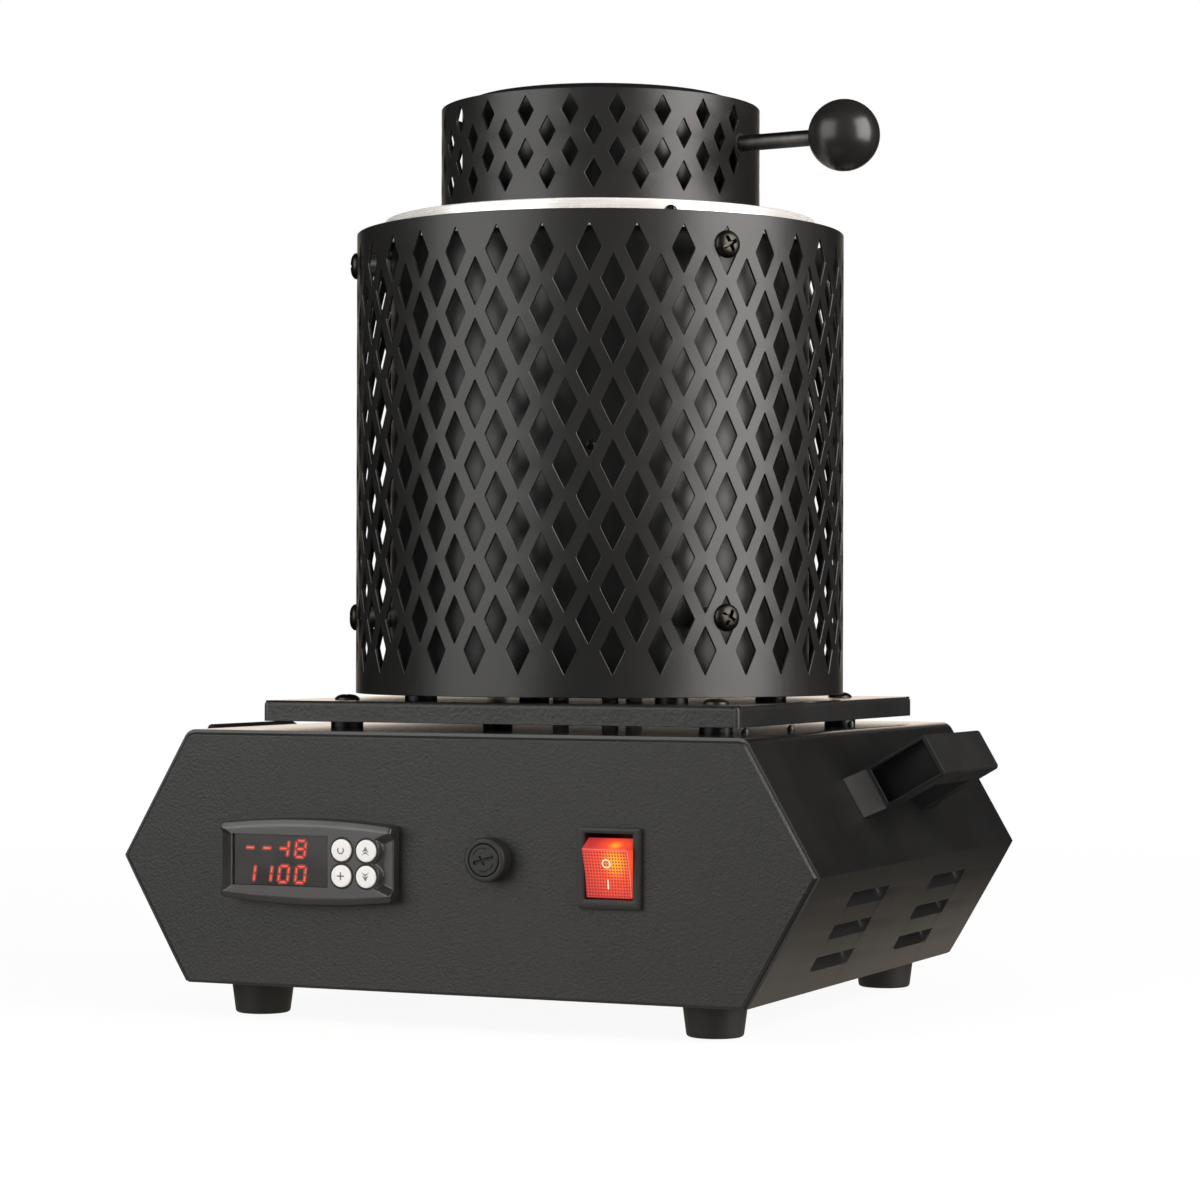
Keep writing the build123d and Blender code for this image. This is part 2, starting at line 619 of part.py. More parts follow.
with BuildPart() as guard:
    # rolled sheet sleeve, pierced by staggered rows of upright diamonds
    with BuildSketch(level(GUARD_LOW)):
        many_sided(GUARD_R, 2 * COLUMNS)
        many_sided(GUARD_R - GUARD_SHEET, 2 * COLUMNS, mode=Mode.SUBTRACT)
    extrude(amount=GUARD_HIGH - GUARD_LOW)
    lattice = [
        radial((column + row % 2 / 2) * 360 / COLUMNS, GUARD_R + 1, ROW_TOP - row * ROW_PITCH)
        for row in range(ROWS)
        for column in range(COLUMNS)
    ]
    with BuildSketch(*lattice):
        diamond(DIAMOND_WIDE, DIAMOND_TALL)
    extrude(amount=-GUARD_SHEET - 2, mode=Mode.SUBTRACT)
finish(guard, "guard")

screw_seats = [(column * 360 / COLUMNS, z) for column in SCREW_COLUMNS for z in SCREW_HEIGHTS]

with BuildPart() as guard_spacers:
    # tubes that hold the guard off the casing
    with BuildSketch(*[radial(angle, CASING_R, z) for angle, z in screw_seats]):
        RegularPolygon(4.4, SMALL)
    extrude(amount=GUARD_R - GUARD_SHEET - CASING_R)
finish(guard_spacers, "guard_spacers")

with BuildPart() as guard_screws:
    # pan heads clamped over a diamond
    with BuildSketch(*[radial(angle, GUARD_R, z) for angle, z in screw_seats]):
        RegularPolygon(SCREW_R, MIDDLE)
    extrude(amount=SCREW_HIGH)
finish(guard_screws, "guard_screws")

with BuildPart() as insulation:
    # eight fibre-board staves round the muffle
    with BuildSketch(level(CASING_LOW + SHEET)):
        RegularPolygon(CASING_R - SHEET - 0.4, 8)
        RegularPolygon(MUFFLE_R + 0.2, 8, major_radius=False, mode=Mode.SUBTRACT)
    extrude(amount=RING_TOP - CASING_LOW - 2 * SHEET)
finish(insulation, "insulation")

with BuildPart() as muffle:
    # ceramic tube with the heating wire cast inside its wall
    with BuildSketch(level(CASING_LOW + SHEET)):
        RegularPolygon(MUFFLE_R, MIDDLE)
        RegularPolygon(MUFFLE_BORE, MIDDLE, mode=Mode.SUBTRACT)
    extrude(amount=RING_TOP - CASING_LOW - 2 * SHEET)
finish(muffle, "muffle")

with BuildPart() as crucible_seat:
    with BuildSketch(level(CASING_LOW + SHEET)):
        RegularPolygon(MUFFLE_BORE - 0.4, MIDDLE)
        with Locations((PROBE_X, 0)):
            RegularPolygon(LEAD_R + 0.1, SMALL, mode=Mode.SUBTRACT)
    extrude(amount=CRUCIBLE_LOW - CASING_LOW - SHEET)
finish(crucible_seat, "crucible_seat")

with BuildPart() as heater_leads:
    with BuildSketch(level(BOX_HIGH - 14)):
        with Locations(*[(x, 0) for x in LEAD_X]):
            RegularPolygon(LEAD_R, SMALL)
    extrude(amount=CASING_LOW + SHEET - BOX_HIGH + 14)
finish(heater_leads, "heater_leads")

with BuildPart() as thermocouple:
    with BuildSketch(level(BOX_HIGH - 14)):
        with Locations((PROBE_X, 0)):
            RegularPolygon(LEAD_R, SMALL)
    extrude(amount=CRUCIBLE_LOW - BOX_HIGH + 14)
finish(thermocouple, "thermocouple")

with BuildPart() as crucible:
    # drawn mouth down, then turned over
    with BuildSketch(level(CRUCIBLE_LOW)):
        RegularPolygon(CRUCIBLE_R, MIDDLE)
    extrude(amount=CRUCIBLE_HIGH - CRUCIBLE_LOW, taper=CRUCIBLE_TAPER)
    with BuildSketch(level(CRUCIBLE_LOW)):
        RegularPolygon(CRUCIBLE_R - CRUCIBLE_WALL, MIDDLE)
    depth = CRUCIBLE_HIGH - CRUCIBLE_LOW - CRUCIBLE_FLOOR
    extrude(amount=depth, taper=CRUCIBLE_TAPER, mode=Mode.SUBTRACT)
    mirror(about=Plane.XY.offset((CRUCIBLE_LOW + CRUCIBLE_HIGH) / 2), mode=Mode.REPLACE)
finish(crucible, "crucible")

# ---------------------------------------------------------------- lid
with BuildPart() as lid_wall:
    # pierced ring with a blank strip where its sheet is joined
    with BuildSketch(level(LID_LOW)):
        many_sided(LID_R, 2 * LID_COLUMNS, LID_FACING)
        many_sided(LID_R - LID_SHEET, 2 * LID_COLUMNS, LID_FACING, mode=Mode.SUBTRACT)
    extrude(amount=LID_HIGH - LID_LOW)
    pitch = 360 / LID_COLUMNS
    lid_lattice = [
        radial(LID_FACING + (column + row % 2 / 2) * pitch, LID_R + 1, LID_ROW_TOP - row * LID_ROW_PITCH)
        for row in range(LID_ROWS)
        for column in range(LID_FIRST, LID_LAST + 1 - row % 2)
    ]
    with BuildSketch(*lid_lattice):
        diamond(LID_DIAMOND_WIDE, LID_DIAMOND_TALL)
    extrude(amount=-LID_SHEET - 2, mode=Mode.SUBTRACT)
    with BuildSketch(radial(ROD_ANGLE, LID_R + 1, ROD_Z)):
        RegularPolygon(ROD_R + 0.1, SMALL)
    extrude(amount=-LID_SHEET - 2, mode=Mode.SUBTRACT)
finish(lid_wall, "lid_wall")

with BuildPart() as lid_can:
    # pressed can with a brim that the pierced wall stands on
    with BuildSketch(level(LID_LOW)):
        many_sided(LID_R - LID_SHEET, 2 * LID_COLUMNS, LID_FACING)
    extrude(amount=SHEET)
    with BuildSketch(level(LID_LOW)):
        many_sided(LID_CAN_R, LARGE, ROD_ANGLE)
    extrude(amount=LID_CAN_TOP - LID_LOW)
    with BuildSketch(level(LID_LOW)):
        many_sided(LID_CAN_R - SHEET, LARGE, ROD_ANGLE)
    extrude(amount=LID_CAN_TOP - LID_LOW - SHEET, mode=Mode.SUBTRACT)
finish(lid_can, "lid_can")

with BuildPart() as lid_refractory:
    with BuildSketch(level(LID_LOW)):
        RegularPolygon(LID_CAN_R - SHEET - 0.4, MIDDLE)
    extrude(amount=LID_CAN_TOP - SHEET - LID_LOW)
finish(lid_refractory, "lid_refractory")

with BuildPart() as lid_rod:
    with BuildSketch(radial(ROD_ANGLE, LID_CAN_R, ROD_Z)):
        RegularPolygon(ROD_R, SMALL)
    extrude(amount=KNOB_REACH - KNOB_FLAT - LID_CAN_R)
finish(lid_rod, "lid_rod")

with BuildPart() as ball_knob:
    # a straight band that the rod meets, then bands that narrow to a small flat, above and below
    for low, high in zip(KNOB_EDGES, KNOB_EDGES[1:]):
        girth, top = KNOB_R * math.cos(low), KNOB_R * math.cos(high)
        rise = KNOB_R * (math.sin(high) - math.sin(low))
        with BuildSketch(Plane(turned(ROD_ANGLE, KNOB_REACH, ROD_Z + KNOB_R * math.sin(low)))):
            many_sided(girth, MIDDLE, ROD_ANGLE)
        extrude(amount=rise, taper=math.degrees(math.atan((girth - top) / rise)))
    with BuildSketch(Plane(turned(ROD_ANGLE, KNOB_REACH, ROD_Z))):
        many_sided(KNOB_R * math.cos(KNOB_EDGES[0]), MIDDLE, ROD_ANGLE)
    extrude(amount=KNOB_R * math.sin(KNOB_EDGES[0]))
    mirror(about=Plane.XY.offset(ROD_Z))
finish(ball_knob, "ball_knob")

with BuildPart() as lid_hinge_arm:
    # strap on the lid wall, with an upright sleeve round the pivot post
    with BuildSketch(level(LID_LOW + 3)):
        with Locations((0, LID_R - 2)):
            Rectangle(10, PIVOT_REACH - LID_R + 2, align=(Align.CENTER, Align.MIN))
        with Locations((0, PIVOT_REACH)):
            RegularPolygon(PIVOT_R + 3, MIDDLE)
            Circle(PIVOT_R + 0.08, mode=Mode.SUBTRACT)
        many_sided(LID_R, 2 * LID_COLUMNS, LID_FACING, mode=Mode.SUBTRACT)
    extrude(amount=SLEEVE)
finish(lid_hinge_arm, "lid_hinge_arm")

with BuildPart() as pivot_post:
    with BuildSketch(level(RING_TOP)):
        with Locations((0, PIVOT_REACH)):
            RegularPolygon(PIVOT_R + 4, MIDDLE)
    extrude(amount=LID_LOW + 2.9 - RING_TOP)
    with BuildSketch(level(LID_LOW)):
        with Locations((0, PIVOT_REACH)):
            Circle(PIVOT_R)
    extrude(amount=SLEEVE + 4)
    with BuildSketch(level(LID_LOW + SLEEVE + 3.1)):
        with Locations((0, PIVOT_REACH)):
            RegularPolygon(PIVOT_R + 3, 6)
    extrude(amount=4)
finish(pivot_post, "pivot_post")
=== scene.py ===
# %% [markdown]
# # Dressing an electric gold melting furnace
# The furnace is a six-sided control box of powder-coated sheet steel. On it stands a round
# furnace body inside a guard that is pierced with diamonds, under a lid that swings aside.
# The construction is already there as a fixed frame in metres, X to the right, -Y to the
# front and Z up. This script gives that frame its looks: every new piece is a surface that
# numpy works out on a grid, and every finish is a small tree of shader nodes.

# %% The frame
import json
import math

import bmesh
import bpy
import numpy as np
from mathutils import Matrix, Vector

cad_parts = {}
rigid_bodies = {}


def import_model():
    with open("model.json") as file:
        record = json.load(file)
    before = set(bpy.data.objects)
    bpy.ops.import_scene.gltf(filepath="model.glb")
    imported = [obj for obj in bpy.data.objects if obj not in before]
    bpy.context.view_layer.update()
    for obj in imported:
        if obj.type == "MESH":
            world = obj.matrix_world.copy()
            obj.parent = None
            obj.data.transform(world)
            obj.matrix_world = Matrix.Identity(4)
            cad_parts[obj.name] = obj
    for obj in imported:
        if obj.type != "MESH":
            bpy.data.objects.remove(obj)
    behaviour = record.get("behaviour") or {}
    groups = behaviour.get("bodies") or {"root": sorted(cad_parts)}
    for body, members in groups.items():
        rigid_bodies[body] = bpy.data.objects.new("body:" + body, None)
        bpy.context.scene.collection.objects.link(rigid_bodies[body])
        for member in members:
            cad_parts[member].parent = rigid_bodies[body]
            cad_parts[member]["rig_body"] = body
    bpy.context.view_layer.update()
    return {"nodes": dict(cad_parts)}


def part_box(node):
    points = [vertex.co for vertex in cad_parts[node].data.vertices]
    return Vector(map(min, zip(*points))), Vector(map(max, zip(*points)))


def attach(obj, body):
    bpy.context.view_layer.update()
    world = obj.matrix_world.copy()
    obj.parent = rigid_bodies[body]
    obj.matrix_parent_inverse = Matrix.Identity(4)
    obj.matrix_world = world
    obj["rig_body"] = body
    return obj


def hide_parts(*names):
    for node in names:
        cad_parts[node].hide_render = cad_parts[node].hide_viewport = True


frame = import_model()
nodes = frame["nodes"]
MM = 0.001
SHEET = 1.2  # folded sheet steel, millimetres


def size_of(node):
    """Lowest and highest corner of a node, in millimetres, as two arrays."""
    low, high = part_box(node)
    return np.array(low) / MM, np.array(high) / MM


def placed(name, data):
    """A new object in the scene, with this data."""
    made = bpy.data.objects.new(name, data)
    bpy.context.scene.collection.objects.link(made)
    return made


# %% [markdown]
# ## Camera
# A long lens from a little to the right and just above the box's top keeps upright lines
# upright. The camera is set first, because it says which details are ever seen closely.

# %% Camera
CAMERA_TURN, CAMERA_TILT, CAMERA_ROLL = 23.849, 0.469, -0.132  # degrees
CAMERA_PLACE = (0.57656, -1.30419, 0.15635)
SENSOR, LENS, LENS_SHIFT = 36.0, 101.285, 0.01185  # millimetres, and a share of the sensor
camera = placed("camera", bpy.data.cameras.new("camera"))
camera.location = CAMERA_PLACE
camera.rotation_euler = [math.radians(a) for a in (90 + CAMERA_TILT, CAMERA_ROLL, CAMERA_TURN)]
camera.data.sensor_width, camera.data.lens = SENSOR, LENS
camera.data.shift_x = LENS_SHIFT
bpy.context.scene.camera = camera

# %% [markdown]
# ## Shader maths as Python
# A finish is easier to read as a formula than as a list of links. `Wire` holds one output
# socket, and its operators add Math nodes. `Tree` adds any other node from its type, settings
# and sockets, and `Finish` is the tree of one material.


# %% Shader helpers
def sum_of(operation):
    """A method that adds one Math node over a wire and another value."""
    return lambda wire, other: wire.tree.maths(operation, wire, other)


class Wire:
    """An output socket that can be used in sums like a number."""

    def __init__(self, tree, socket):
        self.tree, self.socket = tree, socket

    __add__ = __radd__ = sum_of("ADD")
    __mul__ = __rmul__ = sum_of("MULTIPLY")
    __sub__ = sum_of("SUBTRACT")
    power = sum_of("POWER")

    def __rsub__(self, other):
        return self.tree.maths("SUBTRACT", other, self)

    def clamp(self, low, high):
        """0 where this wire is under low, 1 where it is over high, and a smooth S between."""
        sockets = {"Value": self, "From Min": low, "From Max": high}
        return self.tree.node("ShaderNodeMapRange", {"interpolation_type": "SMOOTHSTEP"}, sockets)


class Tree:
    """The node tree of a material or of the world."""

    def __init__(self, owner):
        owner.use_nodes = True
        self.nodes, self.links = owner.node_tree.nodes, owner.node_tree.links

    def plug(self, socket, value):
        """Give a socket a value, or link a wire to it."""
        if isinstance(value, Wire):
            self.links.new(value.socket, socket)
        else:
            socket.default_value = value

    def node(self, kind, settings=(), sockets=(), output=0):
        """Add a node: its settings first, then the values or wires of its sockets."""
        made = self.nodes.new(kind)
        for name, value in dict(settings).items():
            setattr(made, name, value)
        for name, value in dict(sockets).items():
            self.plug(made.inputs[name], value)
        return Wire(self, made.outputs[output])

    def maths(self, operation, *values):
        """Add one Math node over the values."""
        return self.node("ShaderNodeMath", {"operation": operation}, dict(enumerate(values)))

    def blend(self, amount, first, second):
        """Colour between two colours."""
        colours = {0: amount, 6: first, 7: second}
        return self.node("ShaderNodeMix", {"data_type": "RGBA"}, colours, output=2)

    def seen(self):
        """1 where a camera, mirror or glass ray arrives, 0 where a lighting ray does."""
        rays = [f"Is {kind} Ray" for kind in ("Camera", "Glossy", "Transmission")]
        camera_ray, glossy_ray, glass_ray = (self.node("ShaderNodeLightPath", output=ray) for ray in rays)
        return camera_ray + glossy_ray + glass_ray

    def glow(self, colour):
        """A shader that gives light of a colour."""
        return self.node("ShaderNodeEmission", sockets={"Color": colour, "Strength": 1.0})


class Finish(Tree):
    """One material with a Principled shader, built from named settings."""

    def __init__(self, name, **sockets):
        self.material = bpy.data.materials.new(name)
        super().__init__(self.material)
        self.shader = self.nodes["Principled BSDF"]
        self.place = self.node("ShaderNodeTexCoord", output="Object")
        self.set(**sockets)

    def set(self, **sockets):
        """Set the shader's sockets: base_color=... is the socket Base Color."""
        for name, value in sockets.items():
            title = name.replace("_", " ").title().replace("Ior", "IOR")
            self.plug(self.shader.inputs[title], value)

    def surface(self, shader):
        """Let another shader stand for the Principled one."""
        self.plug(self.nodes["Material Output"].inputs["Surface"], shader)

    def axes(self):
        """East, north and height of the shaded point in metres, as wires."""
        split = self.node("ShaderNodeSeparateXYZ", sockets={"Vector": self.place})
        return [Wire(self, socket) for socket in split.socket.node.outputs]

    def from_axis(self, middle_north=0.0):
        """Distance of the shaded point from an upright axis, with its east and north."""
        east, north, _ = self.axes()
        north = north - middle_north
        return (east * east + north * north).power(0.5), east, north

    def noise(self, size, detail=2.0, rough=0.5):
        """Noise from 0 to 1 whose lumps are about a size in millimetres."""
        sockets = {"Vector": self.place, "Scale": 1 / (size * MM), "Detail": detail, "Roughness": rough}
        return self.node("ShaderNodeTexNoise", sockets=sockets)

    def bump(self, height, depth):
        """Relief from a height of 0 to 1 over a depth in millimetres."""
        sockets = {"Height": height, "Distance": depth * MM, "Strength": 1.0}
        self.set(normal=self.node("ShaderNodeBump", sockets=sockets))


# %% [markdown]
# ## Coated steel
# Powder coat is baked from dust, so it has a fine leathery skin: soft lumps of about a
# millimetre with finer grains on them. Two noises at those sizes drive the relief, and a
# slow one varies the sheen, as handling does. The pierced sheets have a smoother satin coat.


# %% Coated steel
def grey(level, warmth=0.0):
    """Linear grey as a colour, pushed a little to red and away from blue."""
    return (level * (1 + warmth), level, level * (1 - warmth), 1.0)


LEVEL_BAND, LEVEL_SHEEN = 0.35, 0.14  # height over which a coat turns smooth, and its roughness there


def coat(name, level, sheen, grain, depth, warmth=0.02, level_top=None):
    """Black coat on steel: level of grey, roughness, size of its lumps and their depth.

    Above level_top, a height in millimetres, the coat lies smooth, as it flows out on a flat.
    """
    made = Finish(name)
    lumps, dust = made.noise(grain), made.noise(grain / 3.2, 3.0, 0.6)
    cloud, speck = made.noise(45, 3.0).clamp(0.3, 0.7), dust.clamp(0.45, 0.75)
    relief, gloss = lumps * 0.7 + dust * 0.3, sheen - 0.05 + cloud * 0.05 + speck * 0.06
    if level_top:
        smooth = made.axes()[2].clamp((level_top - LEVEL_BAND) * MM, level_top * MM)
        relief, gloss = relief * (1 - smooth), gloss * (1 - smooth) + smooth * LEVEL_SHEEN
    dark, pale = grey(level * 0.75, warmth), grey(level * 1.4, warmth)
    made.set(base_color=made.blend(cloud * 0.4 + speck * 0.6, dark, pale), roughness=gloss)
    made.bump(relief, depth)
    return made.material


powder_coat = coat("powder_coat", 0.009, 0.49, 0.95, 0.26, 0.0)
side_coat = coat("side_coat", 0.006, 0.38, 1.1, 0.05, level_top=113.8)
satin_coat = coat("satin_coat", 0.008, 0.37, 0.6, 0.06, 0.04)
heat_black = coat("heat_black", 0.007, 0.37, 0.8, 0.04, 0.03)
plate_coat = coat("plate_coat", 0.009, 0.47, 1.5, 0.34, 0.0, level_top=126.2)

# %% [markdown]
# ## Plastics and rubber
# Moulded parts copy the texture of their mould. The handles and the bezel have a very fine
# even grain, rubber is duller with a faint bloom, and the ball is polished.


# %% Plastics and rubber
def moulded(name, colour, sheen, grain=0.35, depth=0.02, **extra):
    """Moulded piece with an even fine grain and a slight unevenness in its gloss."""
    made = Finish(name, **extra)
    grains, cloud = made.noise(grain, 2.0), made.noise(18, 2.0).clamp(0.35, 0.65)
    pale = tuple(min(1.0, c * 1.2 + 0.002) for c in colour[:3]) + (1.0,)
    made.set(
        base_color=made.blend(grains.clamp(0.4, 0.8) * 0.6 + cloud * 0.2, colour, pale),
        roughness=sheen + cloud * 0.06 + grains * 0.05,
    )
    made.bump(grains, depth)
    return made.material


handle_black = moulded("handle_black", grey(0.007), 0.56, specular_ior_level=0.24)
bezel_black = moulded("bezel_black", grey(0.011, 0.03), 0.36, specular_ior_level=0.85)
frame_black = moulded("frame_black", grey(0.010), 0.46, specular_ior_level=0.4)
rubber_black = moulded("rubber_black", grey(0.005), 0.5, 0.5, 0.03)
ball_black = moulded("ball_black", grey(0.009, 0.08), 0.22, 0.8, 0.004)
button_white = moulded("button_white", grey(0.54, 0.02), 0.45, 0.4, 0.01)
mark_grey = moulded("mark_grey", grey(0.10, 0.02), 0.5)
mark_pale = moulded("mark_pale", (0.7, 0.5, 0.4, 1), 0.4, emission_color=(1, 0.5, 0.3, 1), emission_strength=0.45)
# painted highlight: a faint red glow for the bright lines along the rocker's side and crest
edge_highlight_glow = moulded("edge_highlight_glow", (0.5, 0.2, 0.16, 1), 0.4, emission_color=(1, 0.25, 0.18, 1), emission_strength=0.4)
inner_black = moulded("inner_black", grey(0.006), 0.6)
spacer_black = moulded("spacer_black", grey(0.008), 0.34)
window_smoked = moulded("window_smoked", grey(0.010, 0.06), 0.14, 1.5, 0.002)

# %% [markdown]
# ## Light in plastic
# The digits and the switch give light of their own. Slow noise varies a lit bar. The rocker
# has a lamp behind its upper right part: distance from that lamp picks the colour, from
# yellow to deep red, and two crossed waves make the grid of dots in the plastic.


# %% Lit finishes
def lit(name, dim, bright):
    """A light-emitting mark that varies a little along its length."""
    made = Finish(name, base_color=(0.12, 0.01, 0.008, 1), roughness=0.35, emission_strength=1.0)
    made.set(emission_color=made.blend(made.noise(2.2, 2.0).clamp(0.3, 0.7), dim, bright))
    return made.material


lit_bar = lit("lit_bar", (0.9, 0.065, 0.03, 1), (1.0, 0.12, 0.05, 1))
lit_halo = lit("lit_halo", (0.11, 0.008, 0.006, 1), (0.17, 0.014, 0.010, 1))


ROOF_Z = 72.2  # height of the rocker's crest at rest, above which its roof begins


def lit_rocker(name, lamp, dot):
    """Red plastic lit from a lamp behind it, with a grid of dots of that pitch in millimetres."""
    made = Finish(name, roughness=0.22, coat_weight=0.4, coat_roughness=0.1, emission_strength=1.0)
    east, _, height = made.axes()

    def away_from(middle, stretch):
        """Distance from the lamp's column at a height, with the rise counted so many times."""
        aside, rise = east - lamp[0] * MM, (height - middle * MM) * stretch
        return (aside.power(2.0) + rise.power(2.0)).power(0.5)

    roof = height.clamp((ROOF_Z - 0.4) * MM, (ROOF_Z + 0.2) * MM)
    away = away_from(lamp[1], 0.85) * (1 - roof) + (away_from(ROOF_Z + 1.6, 2.2) * 1.5 + 0.001) * roof
    waves = [made.maths("SINE", axis * (2 * math.pi / (dot * MM))) + 1 for axis in (east, height)]
    dots = (waves[0] * waves[1]).clamp(0.6, 2.4) * (1 - roof)
    warm = made.blend(away.clamp(0.0, 0.0068), (1.0, 0.46, 0.02, 1), (0.86, 0.075, 0.022, 1))
    glow = made.blend(away.clamp(0.0045, 0.017), warm, (0.40, 0.026, 0.030, 1))
    made.set(
        emission_color=made.blend(dots * 0.85, glow, (0.16, 0.006, 0.006, 1)),
        base_color=made.blend(dots, (0.16, 0.012, 0.012, 1), (0.08, 0.004, 0.004, 1)),
    )
    made.bump(dots, -0.08)
    return made.material


rocker_lit = lit_rocker("rocker_lit", (69.4, 67.4), 1.2)

# %% [markdown]
# ## Bare metals
# The top ring is brushed round its own axis, so its scratches are circles: noise over the
# distance from the axis and the height. Slow noise dulls it in patches.


# %% Bare metals
def plated(name, colour, sheen, grain=0.6, depth=0.01):
    """Plated or plain metal with fine mottling."""
    made = Finish(name, metallic=1.0)
    fine, cloud = made.noise(grain, 3.0), made.noise(6, 3.0)
    dark = tuple(c * 0.7 for c in colour[:3]) + (1.0,)
    made.set(
        base_color=made.blend(cloud.clamp(0.3, 0.7), dark, colour),
        roughness=sheen + fine * 0.14 - 0.07,
    )
    made.bump(fine, depth)
    return made.material


def ring_brushed(name, centre_y, scratches=5200.0):
    """Stainless steel brushed in circles round the furnace axis, so many scratches in a metre."""
    made = Finish(name, metallic=0.4)
    reach, east, north = made.from_axis(centre_y)
    turn = made.maths("ARCTAN2", north, east)
    circles = {"X": turn * 3.0, "Y": reach * scratches, "Z": made.axes()[2] * scratches}
    line = made.node("ShaderNodeCombineXYZ", sockets=circles)
    scratch = made.node("ShaderNodeTexNoise", sockets={"Vector": line, "Scale": 1.0, "Detail": 4.0})
    cloud = made.noise(14, 3.0).clamp(0.35, 0.7)
    made.set(
        base_color=made.blend(scratch.clamp(0.3, 0.7), (0.78, 0.76, 0.73, 1), (0.96, 0.94, 0.91, 1)),
        roughness=0.19 + cloud * 0.06 + scratch * 0.08,
    )
    made.bump(scratch, 0.012)
    return made.material


zinc = plated("zinc", (0.62, 0.62, 0.60, 1), 0.38)
screw_black = plated("screw_black", (0.052, 0.049, 0.041, 1), 0.36, 0.4, 0.02)
rod_dark = plated("rod_dark", (0.085, 0.082, 0.079, 1), 0.38)
alloy = plated("alloy", (0.66, 0.66, 0.67, 1), 0.4)
brass = plated("brass", (0.72, 0.55, 0.25, 1), 0.35)
tinned = plated("tinned", (0.78, 0.75, 0.68, 1), 0.28)

# %% [markdown]
# ## Fired and refractory stuff
# Inside, the furnace is made of pale ceramic and of pressed fibre board, and the crucible
# is dark graphite. They only show when the lid swings away, or between the sheets.


# %% Ceramics
def fired(name, colour, stain, size, depth):
    """Dull fired stuff with pores, stained in slow patches."""
    made = Finish(name, specular_ior_level=0.3)
    pores, patch = made.noise(size, 5.0, 0.65), made.noise(22, 3.0).clamp(0.4, 0.75)
    made.set(
        base_color=made.blend(patch * 0.6 + pores.clamp(0.4, 0.8) * 0.3, colour, stain),
        roughness=0.85 + pores * 0.12,
    )
    made.bump(pores, depth)
    return made.material


ceramic = fired("ceramic", (0.74, 0.69, 0.62, 1), (0.50, 0.42, 0.34, 1), 1.2, 0.12)
fibre = fired("fibre", (0.80, 0.77, 0.71, 1), (0.62, 0.55, 0.46, 1), 2.6, 0.4)
graphite = fired("graphite", (0.045, 0.045, 0.048, 1), (0.09, 0.088, 0.085, 1), 0.7, 0.06)

# %% [markdown]
# ## Surfaces from arrays
# Every new piece is one or more grids of points. `Piece` gathers grids worked out in
# millimetres, joins the points that coincide, marks the edges that turn sharply, and hands
# the mesh to the body that carries it. The object stays at the origin, so patterns on
# Object coordinates stay where they are.


# %% Mesh helpers
def grid_quads(rows, columns, wrap=False):
    """Four corner numbers of each cell of a grid; with wrap, the last column meets the first."""
    across = columns if wrap else columns - 1
    row, column = np.meshgrid(np.arange(rows - 1), np.arange(across), indexing="ij")
    after = (column + 1) % columns
    corners = (row * columns + column, row * columns + after, (row + 1) * columns + after, (row + 1) * columns + column)
    return np.stack(corners, -1).reshape(-1, 4)


class Piece:
    """Grids of points that make one mesh."""

    def __init__(self):
        self.points, self.faces, self.count = [], [], 0

    def add(self, points, faces):
        """Add loose points (n, 3) and faces that count from them."""
        points = np.asarray(points, float).reshape(-1, 3)
        self.points.append(points)
        self.faces += (np.asarray(faces) + self.count).tolist()
        self.count += len(points)
        return self

    def grid(self, points, wrap=False):
        """Add a grid of points (rows, columns, 3)."""
        return self.add(points, grid_quads(points.shape[0], points.shape[1], wrap))

    def solid(self, loops):
        """Closed loops (levels, n, 3) joined into a wall, with a flat cap at each end."""
        n = loops.shape[1]
        self.grid(loops, wrap=True)
        self.add(loops[0], [list(range(n - 1, -1, -1))])
        return self.add(loops[-1], [list(range(n))])

    def ring(self, loops):
        """Closed loops (levels, n, 3) whose last one joins the first, as round a tube's wall."""
        return self.grid(np.concatenate([loops, loops[:1]]), wrap=True)

    def make(self, name, material, node=None, **how):
        """Build the mesh object, which stands for a node unless it only rides with one."""
        mesh = bpy.data.meshes.new(name)
        mesh.from_pydata(np.concatenate(self.points) * MM, [], self.faces)
        return finished(name, mesh, mesh, material, node, **how)


def finished(name, source, mesh, material, node, rides=None, slot=None, sharp=32.0, outwards=True, soft=0.0):
    """Join the points of a source mesh, round its sharp edges if asked, shade it and let it ride.

    It rides on the body of the node that it stands for, or of the one that it rides with.
    """
    work = bmesh.new()
    work.from_mesh(source)
    bmesh.ops.remove_doubles(work, verts=work.verts, dist=2e-6)
    bmesh.ops.dissolve_degenerate(work, edges=work.edges, dist=1e-7)
    if outwards:
        bmesh.ops.recalc_face_normals(work, faces=work.faces)
    if soft:
        bmesh.ops.dissolve_limit(work, angle_limit=math.radians(1), verts=work.verts, edges=work.edges)
        keen = [e for e in work.edges if len(e.link_faces) == 2 and e.calc_face_angle(0) > math.radians(24)]
        bmesh.ops.bevel(work, geom=keen, offset=soft * MM, segments=3, profile=0.5, affect="EDGES", clamp_overlap=True)
    work.to_mesh(mesh)
    work.free()
    mesh.shade_smooth()
    mesh.set_sharp_from_angle(angle=math.radians(sharp))
    mesh.materials.clear()
    mesh.materials.append(material)
    made = placed(name, mesh)
    if soft:
        made.modifiers.new("even_flats", "WEIGHTED_NORMAL").keep_sharp = True
    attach(made, nodes[node or rides]["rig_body"])
    if node:
        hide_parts(node)
    return made


def softened(node, material, width=0.3):
    """A copy of a node's own shape with its edges rounded off, which stands for the node."""
    mesh = bpy.data.meshes.new(node + "_skin")
    return finished(mesh.name, nodes[node].data, mesh, material, node, outwards=False, soft=width)


